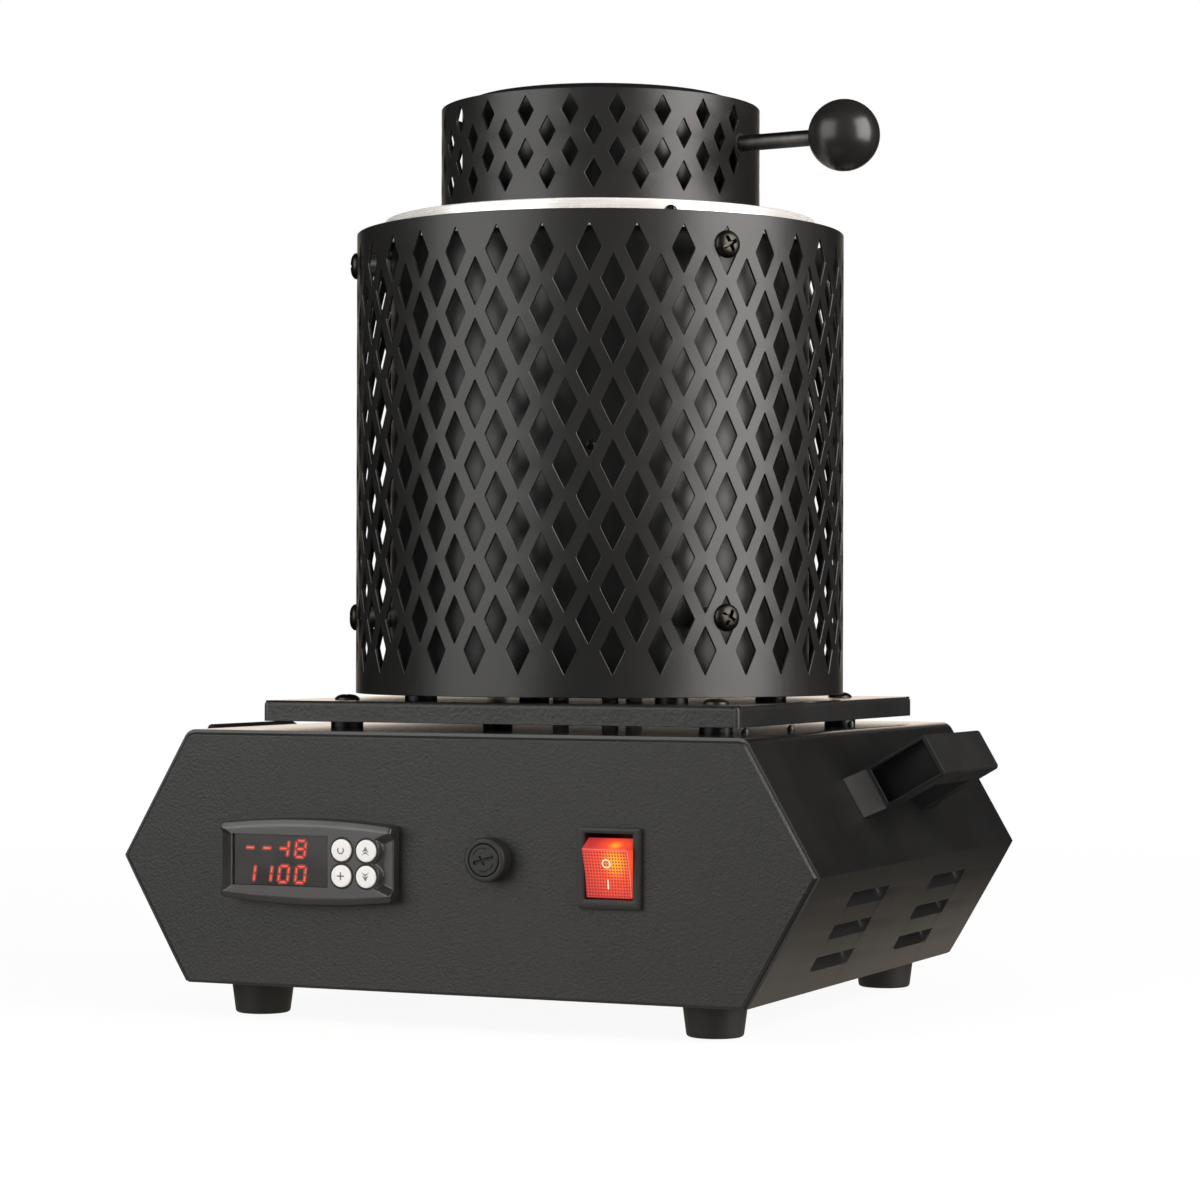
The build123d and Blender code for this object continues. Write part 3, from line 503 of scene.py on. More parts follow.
def rounded(corners, radius, steps=4):
    """Open line of corners (n, 2) with each inner corner turned into an arc of that radius."""
    corners = np.asarray(corners, float)
    radii = np.broadcast_to(radius, len(corners))
    line = [corners[:1]]
    for before, here, after, r in zip(corners, corners[1:], corners[2:], radii[1:]):
        to_before, to_after = before - here, after - here
        lengths = np.linalg.norm(to_before), np.linalg.norm(to_after)
        to_before, to_after = to_before / lengths[0], to_after / lengths[1]
        half = math.acos(np.clip(to_before @ to_after, -1, 1)) / 2
        reach = min(r / math.tan(half), 0.49 * min(lengths))
        if reach < 1e-4:
            line.append(here[None])
            continue
        middle = (to_before + to_after) / np.linalg.norm(to_before + to_after)
        centre = here + middle * reach / math.cos(half)
        start, end = here + to_before * reach - centre, here + to_after * reach - centre
        t = np.linspace(0, 1, steps + 1)[:, None]
        arc = start * (1 - t) + end * t
        line.append(centre + arc / np.linalg.norm(arc, axis=1)[:, None] * np.linalg.norm(start))
    return np.concatenate(line + [corners[-1:]])


def loop_of(corners, radius, steps=4):
    """Closed loop (n, 2) of corners, each turned into an arc."""
    corners = np.asarray(corners, float)
    radii = np.broadcast_to(radius, len(corners))
    around = np.concatenate([corners[-1:], corners, corners[:1]])
    return rounded(around, np.concatenate([radii[-1:], radii, radii[:1]]), steps)[1:-1]


def inset(loop, by):
    """Closed loop of points moved inwards, each along the bisector of its two edges' normals."""
    ahead, behind = np.roll(loop, -1, 0) - loop, loop - np.roll(loop, 1, 0)
    normals = [np.stack([-e[:, 1], e[:, 0]], 1) / np.linalg.norm(e, axis=1)[:, None] for e in (ahead, behind)]
    bisector = normals[0] + normals[1]
    scale = 2 / np.maximum((bisector**2).sum(1), 0.4)
    turn = np.sign((loop[:, 0] * np.roll(loop[:, 1], -1) - np.roll(loop[:, 0], -1) * loop[:, 1]).sum())
    return loop + bisector * scale[:, None] * by * turn


class Place:
    """A plane to draw on: local x and y lie in it, and z stands out of it."""

    def __init__(self, origin, x_dir, y_dir):
        self.origin, self.axes = np.asarray(origin, float), np.array([x_dir, y_dir, np.cross(x_dir, y_dir)])

    def __call__(self, x, y, z=0.0):
        """Points in space from local coordinates."""
        local = np.stack(np.broadcast_arrays(np.asarray(x, float), y, z), -1)
        return self.origin + local @ self.axes


def stacked(place, *levels):
    """Loops in space, one for each (closed line, height) of the levels."""
    return np.stack([place(*line.T, height) for line, height in levels])


def slab(place, loop, levels):
    """Loops over a closed outline, one for each (inset, height) of the levels."""
    return stacked(place, *((inset(loop, by), height) for by, height in levels))


def circle(count):
    """Angles of a count of points round a full turn."""
    return np.linspace(0, 2 * np.pi, count, endpoint=False)


def polar(radius, angle):
    """x and y of the points at a radius and an angle."""
    return radius * np.cos(angle), radius * np.sin(angle)


def spun(place, profile, turns=64):
    """Surface of revolution about the place's z axis of a line of (radius, height)."""
    radius, height = np.asarray(profile, float).T[..., None]
    return place(*polar(radius, circle(turns)), height)


def upright(x, y, z=0.0):
    """Place that lies level, with z up."""
    return Place((x, y, z), (1, 0, 0), (0, 1, 0))


def facing(x, y, z):
    """Place that faces the front, with local y up."""
    return Place((x, y, z), (1, 0, 0), (0, 0, 1))


def turned(name, material, node, places, line, radii=0.0, turns=56, steps=5, **how):
    """The same line of (radius, height), its corners rounded, spun about every place as one piece."""
    piece = Piece()
    for place in places:
        piece.grid(spun(place, rounded(line, radii, steps), turns), wrap=True)
    return piece.make(name, material, node, **how)


def peg(radius, low, high):
    """Line of a plain cylinder, to be turned."""
    return [(0, low), (radius, low), (radius, high), (0, high)]


def box_of(east, north, raised=0.0):
    """Corners of a rectangle of half sizes round a place's origin, moved up by a distance."""
    return np.array([(-east, -north), (east, -north), (east, north), (-east, north)]) + (0, raised)


# %% [markdown]
# ## The pierced guard
# The guard is one sheet, rolled up, with staggered rows of upright diamonds. The cells of
# such a lattice are themselves diamonds that tile the sheet, so one cell with its hole is
# drawn once, as five loops of twelve points, and laid down at each of the 476 places. Two
# bands fill the zigzag that is left at the top and the bottom.

# %% Pierced sheets
low, high = size_of("guard")
AXIS_Y = (low[1] + high[1]) / 2
EDGE = 0.22  # rounding of a pierced edge, millimetres


def between(corners, shares):
    """Points on the sides of a closed outline, at these shares of each side."""
    after, shares = np.roll(corners, -1, 0), np.asarray(shares)[:, None]
    return (corners[:, None] * (1 - shares) + after[:, None] * shares).reshape(-1, 2)


def pierced(radius, sheet, columns, row_heights, hole, span, facing=0.0, blank=lambda column, row: False):
    """Rolled sheet with a staggered lattice of holes.

    A point (s, z) of the flat sheet goes to the angle s / radius round the axis, and a depth
    into the sheet comes off the radius. A cell reaches half a column to each side and one row
    up and down. Its loops run from its border on the outside, over the hole's rounded edge,
    down the hole's wall, and back to its border on the inside.
    """
    wave = 2 * np.pi * radius / columns
    pitch = row_heights[0] - row_heights[1]
    start = math.radians(facing) * radius

    def roll(flat, depth):
        """Flat points (..., 2) rolled round the axis at a depth in the sheet."""
        angle, reach = (flat[..., 0] + start) / radius, radius - depth
        x, y = reach * np.sin(angle), AXIS_Y - reach * np.cos(angle)
        return np.stack([x, y, flat[..., 1]], -1)

    border = np.array([(wave / 2, 0), (0, pitch), (-wave / 2, 0), (0, -pitch)])
    thirds = between(border, [0, 1 / 3, 2 / 3])
    rim = between(np.array([(hole[0] / 2, 0), (0, hole[1] / 2), (-hole[0] / 2, 0), (0, -hole[1] / 2)]), [0, 0.05, 0.95])
    rim[::3] *= 0.975
    loops = [(thirds, 0), (inset(rim, -EDGE), 0), (rim, EDGE), (rim, sheet), (thirds, sheet)]
    share = np.linspace(0, 1, 4)[:, None, None]
    across = border[2] + share * (border[1] - border[2]) + share.transpose(1, 0, 2) * (border[3] - border[2])

    piece = Piece()
    rows, cols = np.meshgrid(np.arange(len(row_heights)), np.arange(columns), indexing="ij")
    shut = np.array([[blank(c, r) for c in range(columns)] for r in range(len(row_heights))]).ravel()
    centres = np.stack([(cols + rows % 2 / 2).ravel() * wave, np.array(row_heights)[rows.ravel()]], -1)
    for here, faces, cells in (
        (loops, grid_quads(5, 12, wrap=True), centres[~shut]),
        ([(across, 0)], grid_quads(4, 4), centres[shut]),
        ([(across, sheet)], grid_quads(4, 4), centres[shut]),
    ):
        flat = [roll(line.reshape(-1, 2) + cells[:, None], depth) for line, depth in here]
        points = np.concatenate(flat, 1)
        starts = np.arange(len(cells))[:, None, None] * points.shape[1]
        piece.add(points, (faces + starts).reshape(-1, 4))
    for row, edge, up in ((0, span[1], 1), (len(row_heights) - 1, span[0], -1)):
        # the cells' outer corners, from one side over the peak to the other, all the way round
        zigzag = np.stack([np.arange(6 * columns) / 6, 1 - abs(np.arange(6 * columns) % 6 / 3 - 1)], -1)
        zigzag = zigzag * (wave, up * pitch) + ((row % 2 - 1) * wave / 2, row_heights[row])
        straight = zigzag * (1, 0) + (0, edge)
        band = [(zigzag, 0), (straight - (0, up * EDGE), 0), (straight, EDGE), (straight, sheet), (zigzag, sheet)]
        piece.grid(np.stack([roll(line, depth) for line, depth in band]), wrap=True)
    return piece


# %% Guard
GUARD_COLUMNS, GUARD_ROWS, GUARD_TOP_ROW, GUARD_PITCH = 34, 14, 307.3, 12.31
GUARD_HOLE, GUARD_SHEET = (10.0, 19.8), 1.0
GUARD_DROP = 0.4  # how far the sheet hangs below the solid's edge
guard_radius = high[1] - AXIS_Y
guard_rows = GUARD_TOP_ROW - GUARD_PITCH * np.arange(GUARD_ROWS)
guard_span = (low[2] - GUARD_DROP, high[2])
guard = pierced(guard_radius, GUARD_SHEET, GUARD_COLUMNS, guard_rows, GUARD_HOLE, guard_span)
guard.make("guard_sheet", satin_coat, "guard")

# %% [markdown]
# ## Lid
# The lid's wall is the same kind of sheet with smaller diamonds and a blank strip where
# its ends meet. A pressed can stands a little proud inside it. The handle is a plain rod
# with a polished ball.

# %% Lid
LID_COLUMNS, LID_ROWS, LID_TOP_ROW, LID_PITCH = 22, 4, 367.7, 8.73
LID_RADIUS, LID_HOLE, LID_FACING = 67.8, (7.3, 12.6), -3.4
LID_BLANK = (6, 7)  # columns left blank on either side of the joint
low, high = size_of("lid_wall")
lid = pierced(
    LID_RADIUS,
    GUARD_SHEET,
    LID_COLUMNS,
    LID_TOP_ROW - LID_PITCH * np.arange(LID_ROWS),
    LID_HOLE,
    (low[2], high[2]),
    LID_FACING,
    blank=lambda column, row: column in LID_BLANK or (row % 2 == 1 and column == LID_BLANK[0] - 1),
)
lid.make("lid_sheet", satin_coat, "lid_wall")

CAN_RADIUS, CAN_BEND = 59.0, 4.0
axis = upright(0, AXIS_Y)
low, high = size_of("lid_can")
brim, deck = LID_RADIUS - SHEET, low[2] + SHEET
can = [(CAN_RADIUS - SHEET, low[2]), (brim, low[2]), (brim, deck)]
can += [(CAN_RADIUS, deck), (CAN_RADIUS, high[2]), (0, high[2])]
turned("lid_can_shell", heat_black, "lid_can", [axis], can, [0, 0, 0.4, 2.0, CAN_BEND, 0], 128, 6)

ROD_ANGLE, ROD_Z, ROD_RADIUS = math.radians(82.7), 358.0, 3.35
KNOB_RADIUS, KNOB_REACH = 14.75, 116.0
out = np.array([math.sin(ROD_ANGLE), -math.cos(ROD_ANGLE), 0])


def across_rod(reach):
    """Place at a distance from the furnace axis, with z along the lid's rod."""
    return Place(np.array([0, AXIS_Y, ROD_Z]) + out * reach, np.cross((0, 0, 1), out), (0, 0, 1))


swing = np.linspace(-np.pi / 2, np.pi / 2, 33)
ball = np.stack(polar(KNOB_RADIUS, swing), -1)
turned("knob_ball", ball_black, "ball_knob", [across_rod(KNOB_REACH)], ball, turns=64)
turned("knob_rod", rod_dark, "lid_rod", [across_rod(KNOB_REACH)], peg(ROD_RADIUS, -56.8, -13), turns=32)
bush = [(ROD_RADIUS, 0.9), (4.5, 0.9), (4.9, 0.0)]
turned("rod_bush", inner_black, None, [across_rod(LID_RADIUS - 0.4)], bush, [0, 0.4, 0], 40, 4, rides="lid_rod")

# %% [markdown]
# ## Steel ring and casing
# The ring is spun from one disc: a flat top, a soft bend and a short skirt, with a small
# roll at its mouth. The casing under it is a can. A closed line of (radius, height) turned
# round the axis gives all of either.

# %% Top ring
RING_RADIUS, MOUTH_RADIUS, SKIRT_RISE = 92.0, 36.0, 1.0
low, high = size_of("top_ring")
skirt, ring_top, under = low[2] + SKIRT_RISE, high[2], high[2] - SHEET
section = [(RING_RADIUS, skirt), (RING_RADIUS, ring_top), (MOUTH_RADIUS, ring_top), (MOUTH_RADIUS, under)]
section += [(RING_RADIUS - SHEET, under), (RING_RADIUS - SHEET, skirt)]
section = loop_of(section, [0.3, 0.9, 0.5, 0.3, 0.6, 0.3], 5)
Piece().ring(spun(axis, section, 160)).make("ring_shell", ring_brushed("stainless", AXIS_Y * MM), "top_ring")

# %% Casing
CASING_RADIUS, LEAD_HOLE = 89.0, 6.0
low, high = size_of("casing")
casing_low, body_low, wall = low[2], low[2] + SHEET, CASING_RADIUS - SHEET
section = [(CASING_RADIUS, casing_low), (CASING_RADIUS, high[2]), (wall, high[2]), (wall, body_low)]
section += [(LEAD_HOLE, body_low), (LEAD_HOLE, casing_low)]
section = loop_of(section, [2.0, 0.2, 0.2, 1.0, 0.2, 0.2])
Piece().ring(spun(axis, section, 128)).make("casing_shell", heat_black, "casing")

# %% [markdown]
# ## Control box
# The cover is one sheet folded into most of a hexagon. Its lower slopes carry pressed
# louvres: each goes inwards from an open slot under a cut edge and comes back softly at its
# foot. On the grid that is a depth, which fades down the slope and towards both ends. Each
# louvre begins a new strip of the grid, so its slot stays open.

# %% Cover
low, high = size_of("base_cover")
TIP_HALF, TIP_Z, SLOPE = high[0], 63.6, math.radians(30)
TAN, COS = math.tan(SLOPE), math.cos(SLOPE)
cover_low, cover_high, cover_half = low[2], high[2], high[1]
foot_half = TIP_HALF - (TIP_Z - cover_low) * TAN
top_half = TIP_HALF - (cover_high - TIP_Z) * TAN
LOUVRE_LONG, LOUVRE_TALL, LOUVRE_DEEP, LOUVRE_PITCH, LOUVRE_FIRST = 45.0, 7.4, 5.0, 14.8, 13.6
LOUVRE_Y, LOUVRE_ENDS = 50.0, 4.5
FLANGE_X, COVER_BEND = 104.0, 4.5
louvre = np.linspace(-LOUVRE_LONG / 2, LOUVRE_LONG / 2, 25)
along = np.concatenate([[-cover_half], louvre - LOUVRE_Y, louvre + LOUVRE_Y, [cover_half]])
near_louvre = np.minimum(abs(along - LOUVRE_Y), abs(along + LOUVRE_Y))


def soft_step(share):
    """0 below 0, 1 above 1, and a smooth S between."""
    share = np.clip(share, 0, 1)
    return share * share * (3 - 2 * share)


def drawn_out(x, z):
    """Grid of points from x and z down each column, drawn out along the cover."""
    return np.stack(np.broadcast_arrays(x, along, z), -1)


ends = soft_step((LOUVRE_LONG / 2 - near_louvre) / LOUVRE_ENDS)
heads = [LOUVRE_FIRST + row * LOUVRE_PITCH - LOUVRE_TALL / 2 for row in range(3)]
slope_long = (TIP_Z - cover_low) / COS
cover = Piece()
for side in (1, -1):

    def strip(down, depth):
        """Part of a lower slope: distances down from the tip, and the depth at each point."""
        x = TIP_HALF - down[:, None] * math.sin(SLOPE) - depth * COS
        cover.grid(drawn_out(side * x, TIP_Z - down[:, None] * COS + depth * math.sin(SLOPE))[:, ::side])

    strip(np.array([0, heads[0]]), 0)
    for head, following in zip(heads, heads[1:] + [slope_long]):
        down = np.concatenate([np.linspace(head, head + LOUVRE_TALL, 10), [following]])
        fade = 1 - np.clip((down - head) / LOUVRE_TALL, 0, 1) ** 1.7
        strip(down, LOUVRE_DEEP * fade[:, None] * ends)
    cover.grid(drawn_out(side * np.array([[foot_half], [FLANGE_X]]), cover_low)[:, ::side])
over = [(-TIP_HALF, TIP_Z), (-top_half, cover_high), (top_half, cover_high), (TIP_HALF, TIP_Z)]
over = rounded(over, COVER_BEND, 8)
cover.grid(drawn_out(over[:, :1], over[:, 1:]))
cover = cover.make("cover_sheet", side_coat, "base_cover", outwards=False, sharp=40)
thick = cover.modifiers.new("thickness", "SOLIDIFY")
thick.thickness, thick.offset = SHEET * MM, -1
uses = np.bincount([loop.edge_index for loop in cover.data.loops], minlength=len(cover.data.edges))
for edge, count in zip(cover.data.edges, uses):
    if count == 1:
        edge.use_edge_sharp = True
cover.modifiers.new("even_flats", "WEIGHTED_NORMAL").keep_sharp = True

# %% [markdown]
# ## Sheets of the box and the plate
# These are already right in shape, so each is a copy of its own solid with two things
# added: a small round on every cut edge, which is what catches light on real sheet, and
# normals weighted by face size, which keep the big flats flat. The plate's lip and top
# stand a little higher than the solid's, and welds close its corners.

# %% Panels and plate
softened("front_panel", powder_coat, 0.5)
softened("rear_panel", powder_coat, 0.5)
softened("bottom_plate", side_coat)
plate = softened("support_plate", plate_coat)
LIP_RISE, PLATE_RISE, WELD, WELD_ROUND = 0.3, 0.4, 2.6, 1.5
low, high = size_of("support_plate")
plate_top, lip = high[2], low[2] + LIP_RISE
for point in plate.data.vertices:
    point.co.z += (LIP_RISE if point.co.z < (low[2] + 1.5) * MM else PLATE_RISE) * MM
# insets and heights of a weld, which is rounded over at its top
WELD_LEVELS = [(0.15, lip), (0, lip + 0.15), (0, 124.3), (0.2, 125.1), (0.55, 125.7), (1.0, 126.1), (1.25, 126.25)]
welds = Piece()
for x, y in ((low[0], low[1]), (high[0], low[1]), (high[0], high[1]), (low[0], high[1])):
    square = np.array([(0, 0), (WELD, 0), (WELD, WELD), (0, WELD)]) * np.sign([-x, AXIS_Y - y])
    welds.solid(slab(upright(x, y), loop_of(square, [WELD_ROUND, 0.1, 0.1, 0.1]), WELD_LEVELS))
welds.make("plate_corner_welds", plate_coat, rides="support_plate")
for side in ("left", "right"):
    softened(f"carry_handle_{side}", handle_black, 0.6)
softened("power_inlet", bezel_black)

# %% [markdown]
# ## Controller bezel
# The bezel is one moulding with bowed long edges. Its front is nearly flat, with a bevel
# along both long edges, a fall to both ends between two slanting creases, bosses round the
# right-hand keys and a well at every key. All of that is a depth behind the face at each
# (x, z), so the front is one grid, drawn closer together where the shape is busy.

# %% Controller bezel
BEZEL_X, BEZEL_Z, BEZEL_HALF, BEZEL_FACE = -62.6, 63.8, 38.3, -133.0
KEYS = {"menu": (-45.4, 69.0), "up": (-34.5, 69.0), "set": (-45.4, 58.9), "down": (-34.5, 58.9)}
WINDOW_X, WINDOW_Z, WINDOW_WIDE, WINDOW_TALL = -73.1, 64.2, 42.8, 20.2
PANEL_FRONT = -125.0
WELL_RADIUS, WELL_DEEP, WINDOW_DEEP, BOSS_RADIUS = 4.75, 3.4, 1.6, 5.5
BEZEL_END, BEZEL_BOW, BEZEL_CORNER = 14.8, 2.2, 1.6  # half height at the ends, rise of its bow, corner
BEVEL_OVER, BEVEL_UNDER = (2.6, 0.55), (2.2, 0.75)  # width and steepness
LEFT_FALL, RIGHT_FALL = (5.8, 5.8, 10.1, 0.62), (8.2, 4.2, 9.2, 0.4)  # start, run, corner and slant


def bowed(x):
    """Half height of the bezel, which is most in the middle, with rounded corners."""
    share = (x - BEZEL_X) / BEZEL_HALF
    end = np.clip(BEZEL_CORNER - BEZEL_HALF * (1 - abs(share)), 0, BEZEL_CORNER)
    return BEZEL_END + BEZEL_BOW * (1 - share**2) - BEZEL_CORNER + np.sqrt(BEZEL_CORNER**2 - end**2)


def bevelled(inwards, width, steep):
    """Bevel along an edge, from the distance inwards of it."""
    return np.clip(width - inwards, 0, None) * steep


def fallen(inwards, rise, start, run, corner, slant):
    """Fall towards an end: a slope over a run, held between two creases that slant outwards."""
    beyond = start - inwards
    slope = np.clip(beyond / run, 0, 1) * 3.0
    crease = np.clip(corner + slant * beyond - rise, 0, None) * 1.1
    return np.minimum(slope, crease)


def bezel_depth(x, z):
    """How far the front stands behind the face, in millimetres."""
    left, right = x - (BEZEL_X - BEZEL_HALF), BEZEL_X + BEZEL_HALF - x
    over, under, rise = bowed(x) - (z - BEZEL_Z), bowed(x) + (z - BEZEL_Z), abs(z - BEZEL_Z)
    from_key = {key: np.hypot(x - key_x, z - key_z) for key, (key_x, key_z) in KEYS.items()}
    boss_wall = np.clip((np.minimum(from_key["up"], from_key["down"]) - BOSS_RADIUS) / 0.5, 0, 1)
    depth = np.maximum.reduce([
        bevelled(over, *BEVEL_OVER),
        bevelled(under, *BEVEL_UNDER),
        fallen(left, rise, *LEFT_FALL),
        boss_wall * (x > KEYS["up"][0]) * fallen(right, rise, *RIGHT_FALL),
    ])  # fmt: skip
    depth = np.where(np.minimum.reduce(list(from_key.values())) < WELL_RADIUS, WELL_DEEP, depth)
    window = (abs(x - WINDOW_X) < WINDOW_WIDE / 2) & (abs(z - WINDOW_Z) < WINDOW_TALL / 2)
    edge = np.clip(0.5 - np.minimum.reduce([left, right, over, under]), 0, 0.5)
    return np.where(window, WINDOW_DEEP, depth) + 0.5 - np.sqrt(0.25 - edge**2)


def spread(start, *runs):
    """Steps along a line: a count of them up to the end of each (end, count) run."""
    line = [[start]]
    for end, count in runs:
        line.append(np.linspace(line[-1][-1], end, count + 1)[1:])
    return np.concatenate(line)


CUT = 0.05  # half the width of a sheer step in the grid
window_left, window_right = WINDOW_X - WINDOW_WIDE / 2, WINDOW_X + WINDOW_WIDE / 2
bezel_left, bezel_right = BEZEL_X - BEZEL_HALF, BEZEL_X + BEZEL_HALF
across = spread(
    bezel_left,
    (bezel_left + 0.6, 5),
    (window_left - CUT, 12),
    (window_left + CUT, 1),
    (window_right - CUT, 30),
    (window_right + CUT, 1),
    (-38, 42),
    (bezel_right - 0.6, 46),
    (bezel_right, 5),
)
FLAT_HALF = 12.4  # rows beyond this half height follow the bowed edge
low_side, high_side = WINDOW_Z - WINDOW_TALL / 2 - BEZEL_Z, WINDOW_Z + WINDOW_TALL / 2 - BEZEL_Z
window_rows = (low_side - CUT, 7), (low_side + CUT, 1), (high_side - CUT, 62), (high_side + CUT, 1)
middle = spread(-FLAT_HALF, *window_rows, (FLAT_HALF, 7))
share = np.concatenate([np.linspace(0, 0.85, 7)[1:], [0.9, 0.95, 0.98, 1.0]])[:, None]
beyond = FLAT_HALF + (bowed(across) - FLAT_HALF) * share
rows = np.concatenate([-beyond[::-1], middle[:, None] + 0 * across, beyond])
x, z = across + 0 * rows, BEZEL_Z + rows
front = np.stack([x, BEZEL_FACE + bezel_depth(x, z), z], -1)
rim = np.concatenate([front[0], front[1:, -1], front[-1, -2::-1], front[-2:0:-1, 0]])
bezel = Piece().grid(front[:, ::-1])
bezel.grid(np.stack([rim, np.where([False, True, False], PANEL_FRONT, rim)]), wrap=True)
body = loop_of(box_of(35.3, 14.3), 0.8)
bezel.solid(slab(facing(BEZEL_X, PANEL_FRONT, BEZEL_Z), body, [(0, -62), (0, 0)]))
bezel.make("controller_bezel", bezel_black, "controller_housing", sharp=38)

# %% [markdown]
# ## Display
# Two rows of seven-segment digits shine on a smoked window. A segment is a thin bar with
# pointed ends. A row names the lit segments of each place, and one small table says where
# each segment stands. Under the bright bars lie wider dim ones, which give a soft halo.

# %% Display
window = loop_of(box_of(WINDOW_WIDE / 2, WINDOW_TALL / 2), 0.5)
GLASS_FACE = BEZEL_FACE + 1.0
glass = slab(facing(WINDOW_X, GLASS_FACE, WINDOW_Z), window, [(0.02, -2.2), (0.02, -0.1), (0.12, 0)])
Piece().solid(glass).make("smoked_glass", window_smoked, "display_window")
DIGIT_HALF, DIGIT_RISE, SLANT, FIRST_DIGIT, PITCH = 2.0, 3.15, 0.13, -86.95, 7.54
BAR_WIDE, BAR_GAP, BAR_POINT = 0.62, 0.32, 0.4  # width that the lengths are for, gap at an end, point
# middle of each segment in half widths and half heights, and whether it lies level
SEGMENTS = {
    "a": (0, 1, True), "b": (1, 0.5, False), "c": (1, -0.5, False), "d": (0, -1, True),
    "e": (-1, -0.5, False), "f": (-1, 0.5, False), "g": (0, 0, True),
}  # fmt: skip
LINES = {68.85: ("g", "g", "bcg", "abcdefg"), 58.75: ("bc", "bc", "abcdef", "abcdef")}
for name, material, wide, lift in (("digit_halo", lit_halo, 1.7, 0.01), ("digit_bars", lit_bar, 0.54, 0.04)):
    bars = Piece()
    for height, places in LINES.items():
        for place, shown in enumerate(places):
            for mark in shown:
                along, up, level = SEGMENTS[mark]
                half = (DIGIT_HALF if level else DIGIT_RISE / 2) - BAR_GAP + (wide - BAR_WIDE) / 2
                point = min(wide / 2, BAR_POINT)
                bar = np.array([(-half, 0), (point - half, -wide / 2), (half - point, -wide / 2), (half, 0)])
                bar = np.concatenate([bar, bar[2:0:-1] * (1, -1)])
                bar = (bar if level else bar[:, ::-1] * (1, -1)) + (along * DIGIT_HALF, up * DIGIT_RISE)
                bar[:, 0] += SLANT * bar[:, 1]
                spot = facing(FIRST_DIGIT + PITCH * place, GLASS_FACE, height)
                bars.solid(slab(spot, bar, [(0, 0), (0, lift)]))
    bars.make(name, material, rides="display_window")

# %% [markdown]
# ## Keys
# Each key is a low round cap with a rounded edge, in its own well, with a flat black ring round the well that is partly
# its real gap and partly painted shade. The two right-hand ones carry pairs of darts that point up and down; the
# left-hand ones carry plain marks.

# %% Keys
KEY_RADIUS, KEY_FACE = 4.35, -134.0
cap = [(KEY_RADIUS - 0.1, -2.3), (KEY_RADIUS, -0.35), (KEY_RADIUS - 0.5, 0.0), (0, 0.12)]
# the well's wall, with its lip as a flat black ring out past the bezel's well: painted shade round the key
well = [(4.45, -WELL_DEEP), (4.45, 0.16), (5.15, 0.16), (5.25, 0.0)]
dart = np.array([(0, 1.75), (1.4, -0.55), (0, 0.15), (-1.4, -0.55)])
wing = np.array([(0, -0.15), (1.7, -1.75), (0, -0.95), (-1.7, -1.75)])
arc = np.stack(polar(1, np.radians(np.linspace(-220, 40, 15))), -1)
cup = np.concatenate([1.55 * arc, arc[::-1]])
bar = box_of(0.28, 1.55)
MARKS = {"up": [dart, wing], "down": [-dart, -wing], "menu": [cup], "set": [bar, bar[:, ::-1] * (1, -1)]}
for key, (x, z) in KEYS.items():
    face = facing(x, KEY_FACE, z)
    turned(f"key_{key}", button_white, f"button_{key}", [face], cap, [0, 0.4, 0.6, 0], 48)
    marks = Piece()
    for mark in MARKS[key]:
        marks.solid(slab(face, mark, [(0, 0.0), (0, 0.13)]))
    marks.make(f"key_mark_{key}", mark_grey, rides=f"button_{key}", slot="black_plastic")
well_places = [facing(x, BEZEL_FACE, z) for x, z in KEYS.values()]
turned("key_wells_shade_rings", inner_black, None, well_places, well, [0, 0.05, 0.1, 0], 48, 2, rides="controller_housing")

# %% [markdown]
# ## Fuse holder
# A turned collar holds a round cap. The cap's face is a polar grid, and its screwdriver
# slot and the two curved grooves that show which way it turns are depths on it.

# %% Fuse holder
FUSE_X, FUSE_Z, COLLAR_RADIUS, CAP_RADIUS = 15.6, 66.8, 8.6, 6.15
collar = facing(FUSE_X, PANEL_FRONT, FUSE_Z)
COLLAR_HIGH, COLLAR_FLOOR, COLLAR_BORE = 7.0, 3.6, CAP_RADIUS + 0.25
section = [(6.4, -30), (6.4, 0), (COLLAR_RADIUS, 0), (COLLAR_RADIUS, COLLAR_HIGH)]
section += [(COLLAR_BORE, COLLAR_HIGH), (COLLAR_BORE, COLLAR_FLOOR), (0, COLLAR_FLOOR)]
turned("fuse_collar", frame_black, "fuse_holder", [collar], section, [0, 0, 0.1, 1.1, 0.35, 0.2, 0], 96, 6)

turn, reach = circle(180), spread(0, (5.4, 40), (CAP_RADIUS, 10))[:, None]
SLOT_ANGLE, CAP_HIGH, CAP_ROUND = math.radians(16), 7.3, 0.45
WALL = 0.12  # width of a moulded groove's sloping wall
ahead, aside = polar(reach, turn - SLOT_ANGLE)


def groove(away, half):
    """1 inside a half width, 0 outside it, with a sloping wall between."""
    return np.clip((half + WALL - away) / WALL, 0, 1)


slot = groove(np.hypot(np.clip(abs(ahead) - 4.0, 0, None), aside), 0.45)
hub = groove(np.hypot(ahead + 3.6, aside), 0.75)
cross = groove(np.hypot(ahead + 0.6 + 0.25 * aside, np.clip(abs(aside) - 1.5, 0, None)), 0.35)
sweep = np.minimum(*(abs((turn - np.radians(a) + np.pi) % (2 * np.pi) - np.pi) for a in (115, 295)))
arrows = groove(np.hypot(reach - 4.5, np.clip(sweep - 0.75, 0, None) * 4.5), 0.22)
depth = np.maximum.reduce([slot, hub, cross * 0.8, arrows * 0.3])
edge = np.clip(CAP_ROUND - (CAP_RADIUS - reach), 0, CAP_ROUND)
rise = CAP_HIGH + CAP_ROUND * (np.sqrt(1 - (edge / CAP_ROUND) ** 2) - 1) - depth
cap = np.concatenate([collar(*polar(reach, turn), rise), collar(*polar(CAP_RADIUS, turn), 4.0)[None]])
Piece().grid(cap, wrap=True).make("fuse_cap_turned", frame_black, "fuse_cap")
